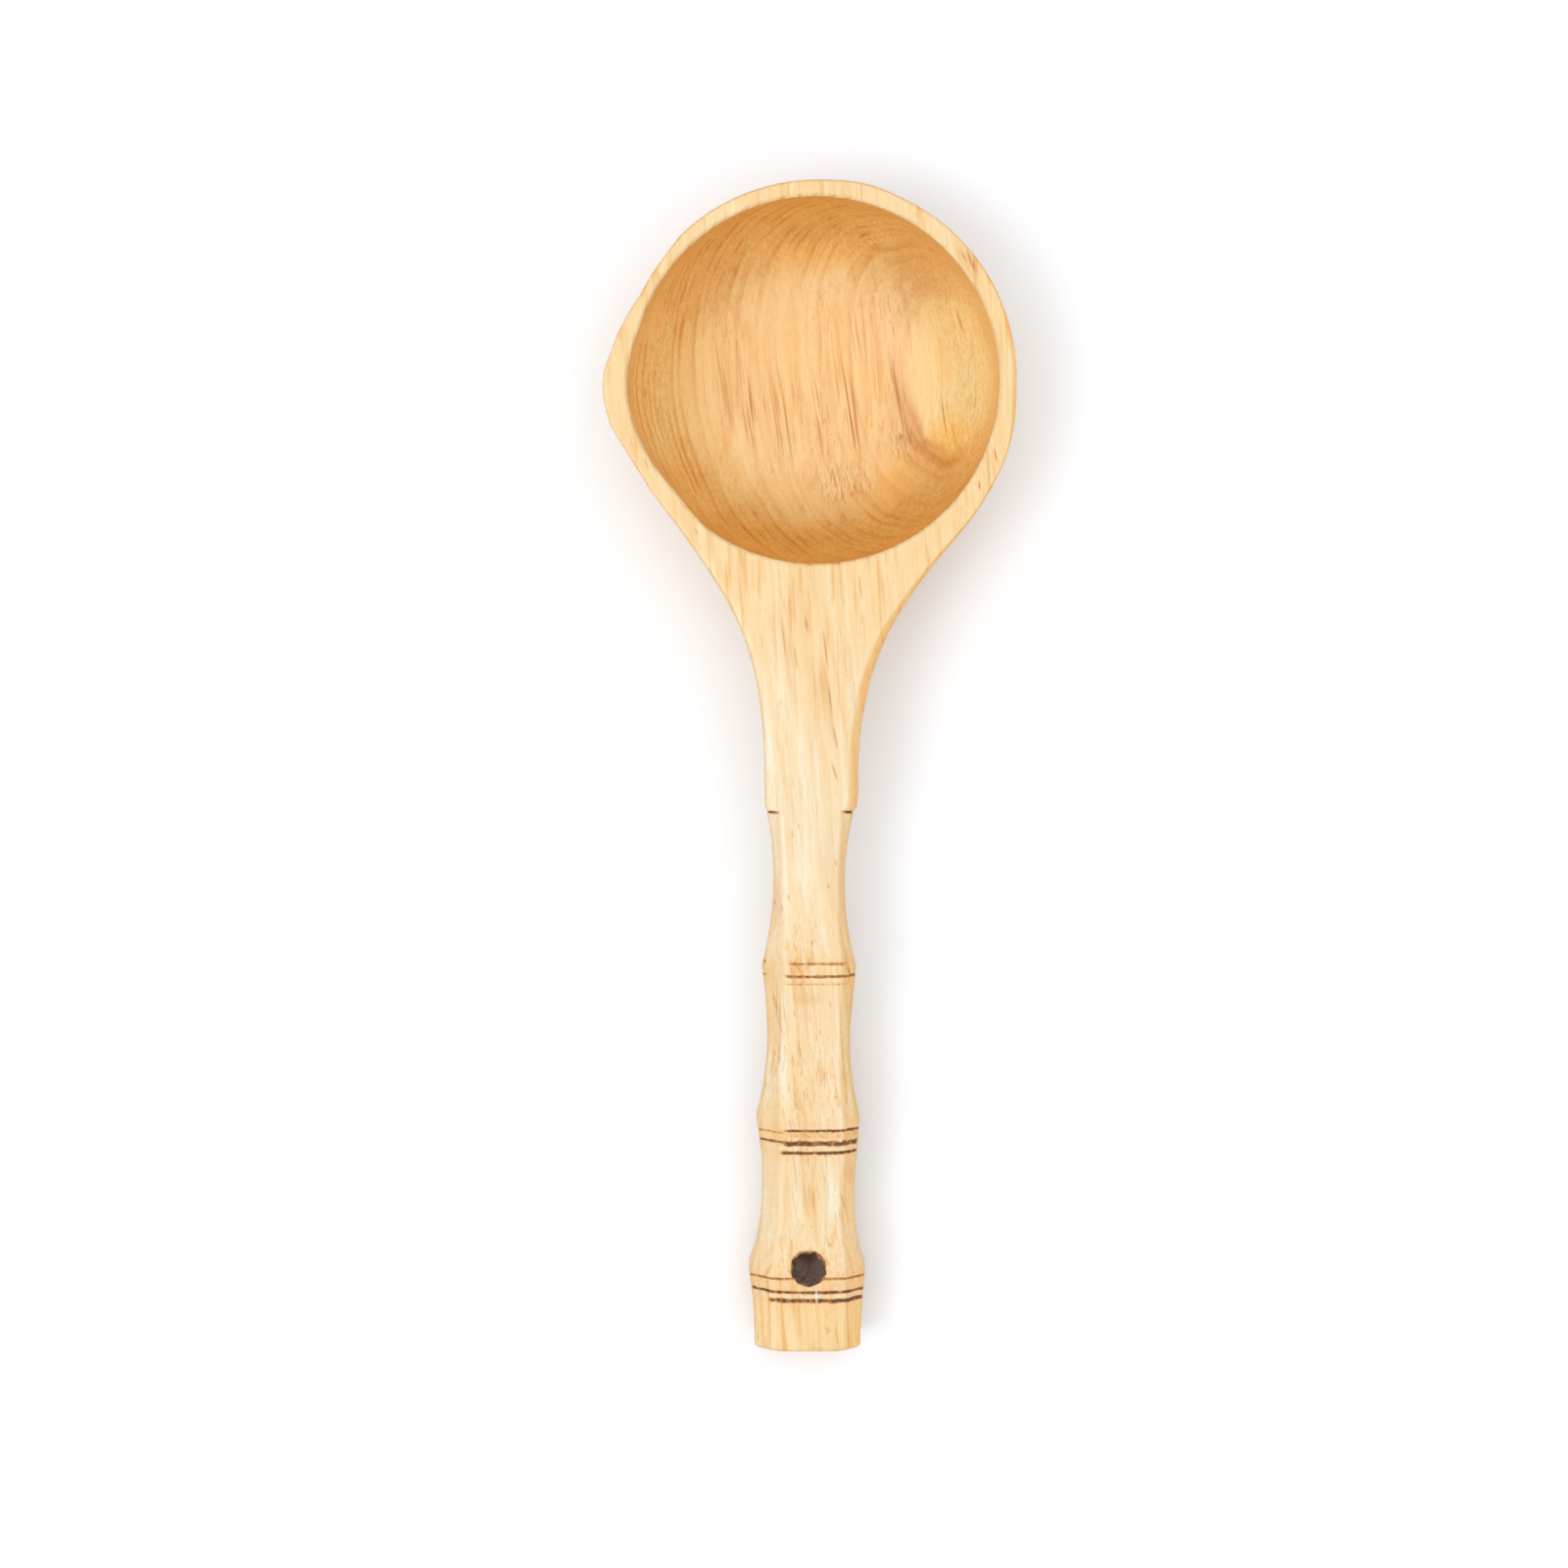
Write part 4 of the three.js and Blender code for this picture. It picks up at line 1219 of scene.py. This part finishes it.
def handle_section(at):
    width, thickness, left, right = handle_sizes(at)
    into_end = max(0, at - HANDLE_LENGTH + END_ROUNDING) / END_ROUNDING
    inset = END_ROUNDING * (1 - math.sqrt(1 - into_end ** 2))
    w, h = width / 2 - inset, thickness / 2 - inset
    left_drop, right_drop = (FACET_RISE * facet + FACET_LEAST for facet in (left, right))
    corners = np.array([
        (w, h - right_drop), (w, FACET_UNDER - h), (w - FACET_UNDER, -h), (FACET_UNDER - w, -h),
        (-w, FACET_UNDER - h), (-w, h - left_drop), (left - w, h), (w - right, h),
    ])
    round_left, round_right = (min(CORNER_ROUND_TOP, CORNER_ROUND_SHARE * facet) for facet in (left, right))
    rounds = [round_right, *[CORNER_ROUND_UNDER] * 4, round_left, round_left, round_right]
    flat = eased_polygon(corners, rounds)
    from_shoulder = float(ease(at, 0, TILT_LENGTH))
    flat[:, 1] -= from_shoulder * CAMBER * np.maximum(flat[:, 1], 0) / h * flat[:, 0] ** 2 / w
    middle_x = NECK_SHIFT_X + HANDLE_LEAN_X * at / HANDLE_LENGTH + np.interp(at, SIDEWAYS_AT, SIDEWAYS_BY)
    y = -SHOULDER_DISTANCE - at + slope * from_shoulder * (thickness / 2 - flat[:, 1])
    z = np.maximum(shoulder_middle - slope * at + flat[:, 1], 0)
    return np.column_stack([middle_x + flat[:, 0], y, z])


print(f"a section has {len(handle_section(0))} points")

# %% Loft the handle
STATION_COARSE = 0.7
STATION_FINE = 0.16
SCORED_ZONES = [(SEAM, 1.8), (40.0, 47.6), (85.6, 94.6), (126.4, 135.6)]
END_STEPS = 9
END_REACHED = 0.97


def handle_stations():
    coarse = np.arange(SEAM, HANDLE_LENGTH - END_ROUNDING, STATION_COARSE)
    for start, stop in SCORED_ZONES:
        coarse = coarse[(coarse < start - STATION_FINE) | (coarse > stop)]
    fine = [np.arange(start, stop, STATION_FINE) for start, stop in SCORED_ZONES]
    end = HANDLE_LENGTH - END_ROUNDING * (1 - np.sin(np.linspace(0, END_REACHED, END_STEPS) * math.pi / 2))
    return np.unique(np.concatenate([coarse, *fine, end]))


stations = handle_stations()
rings = [handle_section(at) for at in stations]
handle = loft("ladle_handle", rings, True, handle_wood)
face_outwards(handle)
print(f"{len(stations)} sections of {len(rings[0])} points")

# %% [markdown]
# ## Scored lines
# The same cut is made again and again round the nodes, so it is one Geometry Nodes tree with a place, a
# width, a depth and a bow. Points near the line sink along their normal, and an attribute keeps how hard
# the wood was burnt. A depth and a burn below zero raise a ridge of bare wood, and a wide stroke with no
# depth warms the wood. Both ends of a line fade out, which a cutter of its own for each line would not do.

# %% Scored line tree
WOBBLE_SCALE = 450.0
WIDTH_SCALE = 700.0

scored_line, line_in, line_out = new_group("scored line", "GeometryNodeTree", {
    "Geometry": GEOMETRY, "Place": 0.0, "Width": 0.001, "Depth": 0.0005, "From X": -0.02, "To X": 0.02,
    "End Fade": 0.0015, "Burn": 1.0, "Wobble": 0.0002, "Bow": 0.0, "Seed": 0.0, "Material": handle_wood,
}, {"Geometry": GEOMETRY})


def read_back(name):
    return output_of(scored_line, "GeometryNodeInputNamedAttribute", {"Name": name}, data_type="FLOAT")


spot = output_of(scored_line, "GeometryNodeInputPosition")
normal = output_of(scored_line, "GeometryNodeInputNormal")
x = split(spot)[X]
shaken = (noise(WOBBLE_SCALE, 2.0, "4D", Vector=spot, W=line_in["Seed"]) - 0.5) * line_in["Wobble"]
away = abs(x * x * line_in["Bow"] + read_back("along") - line_in["Place"] - shaken)
uneven = ramp(noise(WIDTH_SCALE, 1.0, "4D", Vector=spot, W=line_in["Seed"]), 0.3, 0.7, 0.36, 0.62)
apart = away / (line_in["Width"] * uneven)
reached = ramp(x, line_in["From X"], line_in["From X"] + line_in["End Fade"])
reached = reached * ramp(x, line_in["To X"], line_in["To X"] - line_in["End Fade"])
sink = fade(apart, 0.0, 1.0) * reached * line_in["Depth"] * -1.0
burnt = fade(apart, 0.2, 1.15) * reached * line_in["Burn"]
kept = made("GeometryNodeStoreNamedAttribute", {
    "Geometry": line_in["Geometry"], "Name": "scorch", "Value": read_back("scorch") + burnt,
}, data_type="FLOAT", domain="POINT")
inward = made("ShaderNodeVectorMath", {0: normal, "Scale": sink}, operation="SCALE")
finish_tree(made("GeometryNodeSetPosition", {"Geometry": kept, "Offset": inward}), line_in, line_out)
print("scored line:", len(scored_line.nodes), "nodes")

# %% Score the nodes
PLAIN_ENDS = (0, 1.5)
# Place along the handle, width, depth, from x, to x, burn, wobble; then for some a bow in thousandths of a
# millimetre for each square millimetre, and the length of the fade at the ends
STROKES = [
    (43.5, 13.0, 0.0, -20, 20, 0.10, 0.5),
    (89.5, 15.0, 0.0, -20, 20, 0.12, 0.5),
    (130.0, 16.0, 0.0, -20, 20, 0.14, 0.5),
    (1.25, 1.0, 0.50, -17.0, -9.6, 0.90, 0.1, 6, 3.0),
    (-0.22, 1.1, 0.50, 5.6, 14.0, 1.10, 0.1, -7, 3.0),
    (41.4, 1.2, 0.25, -8.6, 8.6, 0.38, 0.3),
    (42.3, 0.9, -0.08, -8.6, 7.6, -0.60, 0.3),
    (44.9, 1.1, 0.40, -9.3, 20.0, 0.52, 0.2),
    (46.1, 1.4, -0.18, -9.3, 7.0, -1.3, 0.2),
    (47.0, 0.7, 0.14, -9.3, 9.0, 0.26, 0.2),
    (41.4, 0.9, 0.30, -20.0, -13.6, 0.60, 0.1),
    (44.9, 0.9, 0.30, -20.0, -13.6, 0.60, 0.1),
    (86.1, 0.8, -0.06, -9.6, 20.0, -0.60, 0.2),
    (86.95, 1.0, 0.35, -9.6, 20.0, 0.74, 0.2),
    (87.5, 0.9, 0.20, -20.0, -9.0, 0.26, 0.2),
    (88.2, 2.4, 0.0, -11.0, 20.0, 0.13, 0.4),
    (90.6, 2.0, 0.60, -9.8, 20.0, 0.86, 0.7),
    (90.1, 0.9, 0.40, -20.0, -8.6, 0.70, 0.2),
    (91.95, 1.7, -0.15, -14.0, 20.0, -1.7, 0.1),
    (93.05, 1.2, 0.55, -10.6, 20.0, 0.95, 0.4),
    (127.6, 1.0, 0.30, -20.0, 20.0, 0.46, 0.2, 0.4, 1.5),
    (131.45, 1.1, 0.45, -20.0, 20.0, 0.82, 0.3, 1.3, 1.5),
    (132.55, 1.5, -0.15, -20.0, 20.0, -1.5, 0.2, 1.3, 1.5),
    (133.75, 1.5, 0.50, -13.9, 20.0, 0.88, 0.8, 1.0, 1.5),
]


def point_values(piece, name, values):
    attribute = piece.data.attributes.new(name, "FLOAT", "POINT")
    attribute.data.foreach_set("value", np.asarray(values, np.float32))


point_values(handle, "along", np.repeat(stations * MM, len(rings[0])))
point_values(handle, "scorch", np.zeros(len(stations) * len(rings[0])))
for seed, (at, width, depth, start_x, stop_x, burn, wobble, *ends) in enumerate(STROKES):
    bow, end_fade = ends or PLAIN_ENDS
    run_tree(handle, scored_line, {
        "Place": at * MM, "Width": width * MM, "Depth": depth * MM, "From X": start_x * MM,
        "To X": stop_x * MM, "End Fade": end_fade * MM, "Burn": float(burn), "Wobble": wobble * MM,
        "Bow": float(bow), "Seed": float(seed), "Material": handle_wood,
    })
print(f"{len(STROKES)} strokes on {len(handle.data.polygons)} faces")

# %% [markdown]
# ## Hanging hole and tenon
# The hole was burnt through with a tapered hot iron held square to the handle, so its edge is knobbly and
# it narrows on the way down. The tool that cuts it is a bar whose radius wanders and shrinks. The tenon is
# a plain round bar that joins the handle inside the neck.

# %% Hanging hole and tenon
HOLE_DIAMETER = 9.1
HOLE_FROM_END = 23.4
HOLE_LEVELS = 30
HOLE_SIDES = 96
# Lobes round the hole: how many, how high, and where they start
HOLE_LOBES = [(2, 0.14, 0.4), (5, 0.18, 2.0), (9, 0.26, 4.1), (13, 0.12, 1.2)]
HOLE_TWIST = 0.05
HOLE_TAPER = 0.30

hole_at = HANDLE_LENGTH - HOLE_FROM_END
hole_x = NECK_SHIFT_X + HANDLE_LEAN_X * hole_at / HANDLE_LENGTH
hole_y = -SHOULDER_DISTANCE - hole_at
hole_top = shoulder_top - slope * hole_at


def hole_ring(z):
    turn = circle(HOLE_SIDES)
    radius = np.full_like(turn, HOLE_DIAMETER / 2 - HOLE_TAPER * max(0, hole_top - z) / 2)
    for lobes, size, start in HOLE_LOBES:
        radius += size * np.sin(lobes * turn + start + HOLE_TWIST * lobes * z)
    return ring(turn, radius, z, hole_x, hole_y + slope * (hole_top - z))


hole_heights = np.linspace(-OVERCUT, rim_height, HOLE_LEVELS)
hole_tool = loft("hole_tool", [hole_ring(z) for z in hole_heights], True, hole_wall)
combine(handle, hole_tool, "DIFFERENCE")
tenon = round_bar("tenon", TENON_DIAMETER, -OVERCUT, TENON_LENGTH, along_tenon, handle_wood)
combine(handle, tenon, "UNION")
combine(handle, peg_hole(handle_wood), "DIFFERENCE")
face_outwards(handle)
print("materials on the handle:", [m.name for m in handle.data.materials])

# %% [markdown]
# The iron also charred a thin ring round the mouth of the hole. It goes into the same attribute that the
# scored lines use, so one material finishes the whole handle.

# %% Char the edge of the hole
CHAR_INSIDE = 4.7
CHAR_FADE = 5.15

places = np.empty(len(handle.data.vertices) * 3, np.float32)
handle.data.vertices.foreach_get("co", places)
places = places.reshape(-1, 3) / MM
from_hole = np.hypot(places[:, 0] - hole_x, places[:, 1] - hole_y)
scorch = np.zeros(len(places), np.float32)
scorch_values = handle.data.attributes["scorch"].data
scorch_values.foreach_get("value", scorch)
scorch = np.maximum(scorch, 1 - ease(from_hole, CHAR_INSIDE, CHAR_FADE))
scorch_values.foreach_set("value", scorch.astype(np.float32))
print(f"{int((from_hole < CHAR_INSIDE).sum())} charred points")

# %% [markdown]
# ## Peg
# The peg is whittled from darker wood, driven up from under the neck and cut off flush. It locks the tenon.
# It is lofted like the handle, with the shallow cuts of the knife round it.

# %% Peg
PEG_CHAMFER = 0.5
PEG_KNIFE_CUTS = 9
PEG_CUT_DEPTH = 0.12
PEG_SIDES = 72
PEG_LEVELS = 12
PEG_EDGE = 0.15


def peg_ring(z, inset):
    turn = circle(PEG_SIDES)
    radius = PEG_DIAMETER / 2 - inset - PEG_CUT_DEPTH * np.abs(np.cos(PEG_KNIFE_CUTS * turn / 2))
    return carried(ring(turn, radius, z), across_tenon)


peg_rings = [peg_ring(peg_bottom, PEG_EDGE)]
peg_rings += [peg_ring(z, 0) for z in np.linspace(peg_bottom + PEG_EDGE, peg_top - PEG_CHAMFER, PEG_LEVELS)]
peg_rings.append(peg_ring(peg_top, PEG_CHAMFER))
peg = loft("ladle_peg", peg_rings, True, peg_wood)
face_outwards(peg)

# %% [markdown]
# ## Shading and fastening
# Smooth shading stops at real edges. Weighted normals keep the big flat faces flat beside their rounded
# edges. Then each piece hides its CAD node and rides on the one body that a ladle has.

# %% Shading and fastening
SHARP_ANGLE = math.radians(40)


def finish_piece(piece, node):
    piece.data.polygons.foreach_set("use_smooth", np.ones(len(piece.data.polygons), bool))
    piece.data.set_sharp_from_angle(angle=SHARP_ANGLE)
    weighted = piece.modifiers.new("weighted", "WEIGHTED_NORMAL")
    weighted.keep_sharp = True
    keep_result(piece)
    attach(piece, "root")
    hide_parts(node)
    triangles = sum(len(face.vertices) - 2 for face in piece.data.polygons)
    print(f"{piece.name}: {triangles} triangles, {[m.name for m in piece.data.materials]}")


finish_piece(bowl, "bowl")
finish_piece(handle, "handle")
finish_piece(peg, "tenon_peg")

# %% [markdown]
# ## Table and light
# The ladle lies on a white table under a very big soft lamp. A window on the left and a fainter one on the
# right give the edges their shine. The table is bright to the camera and in reflections, so it shows white,
# but it still takes the ladle's shadow. To scattered light it is an ordinary pale surface.

# %% Table
TABLE_SIZE = 8000
TABLE_GAP = 0.02
TABLE_PALE = (0.86, 0.86, 0.86, 1)
TABLE_SEEN = (1.05, 1.085, 1.14, 1)
PLASTER_SCALE = 260.0


def seen_directly(tree):
    """One for camera, glossy and transmission rays, and zero for the light that is scattered."""
    path = outputs(add_node(tree, "ShaderNodeLightPath"))
    return larger(larger(path["Is Camera Ray"], path["Is Glossy Ray"]), path["Is Transmission Ray"])


white_table, tree, _ = new_material("white_table")
tree.nodes.clear()
plaster = noise(PLASTER_SCALE, 4.0, Vector=output_of(tree, "ShaderNodeTexCoord", output="Object"))
matt = made("ShaderNodeBsdfDiffuse", {
    "Color": blend(seen_directly(tree), TABLE_PALE, TABLE_SEEN),
    "Normal": made("ShaderNodeBump", {"Height": plaster, "Strength": 0.06, "Distance": 0.001}),
})
add_node(tree, "ShaderNodeOutputMaterial", {"Surface": matt})
half = TABLE_SIZE / 2
corners = [(x, y, -TABLE_GAP) for x, y in ((-half, -half), (half, -half), (half, half), (-half, half))]
table = mesh_piece("table", corners, [(0, 1, 2, 3)], white_table)
print("table", TABLE_SIZE, "mm wide")

# %% Light
# Name, strength, spread in degrees, and the direction that the light comes from
LAMPS = [
    ("softbox", 1.66, 88, (-0.07, -0.02, 1)),
    ("window", 0.35, 20, (-0.47, -0.20, 1)),
    ("far_window", 0.10, 20, (0.42, 0.40, 1)),
]
WORLD_STRENGTH = 0.35

for name, strength, spread, direction in LAMPS:
    lamp = show(name, bpy.data.lights.new(name, "SUN"))
    lamp.data.angle = math.radians(spread)
    lamp.data.energy = strength
    lamp.location = direction
    lamp.rotation_euler = Vector(direction).to_track_quat("Z", "Y").to_euler()

world = bpy.data.worlds.new("studio")
bpy.context.scene.world = world
world.use_nodes = True
strength = ramp(seen_directly(world.node_tree), 0.0, 1.0, WORLD_STRENGTH, 1.0)
connect(world.node_tree.nodes["Background"], {"Color": (1, 1, 1, 1), "Strength": strength})
print(f"{len(LAMPS)} lamps, world {WORLD_STRENGTH}")
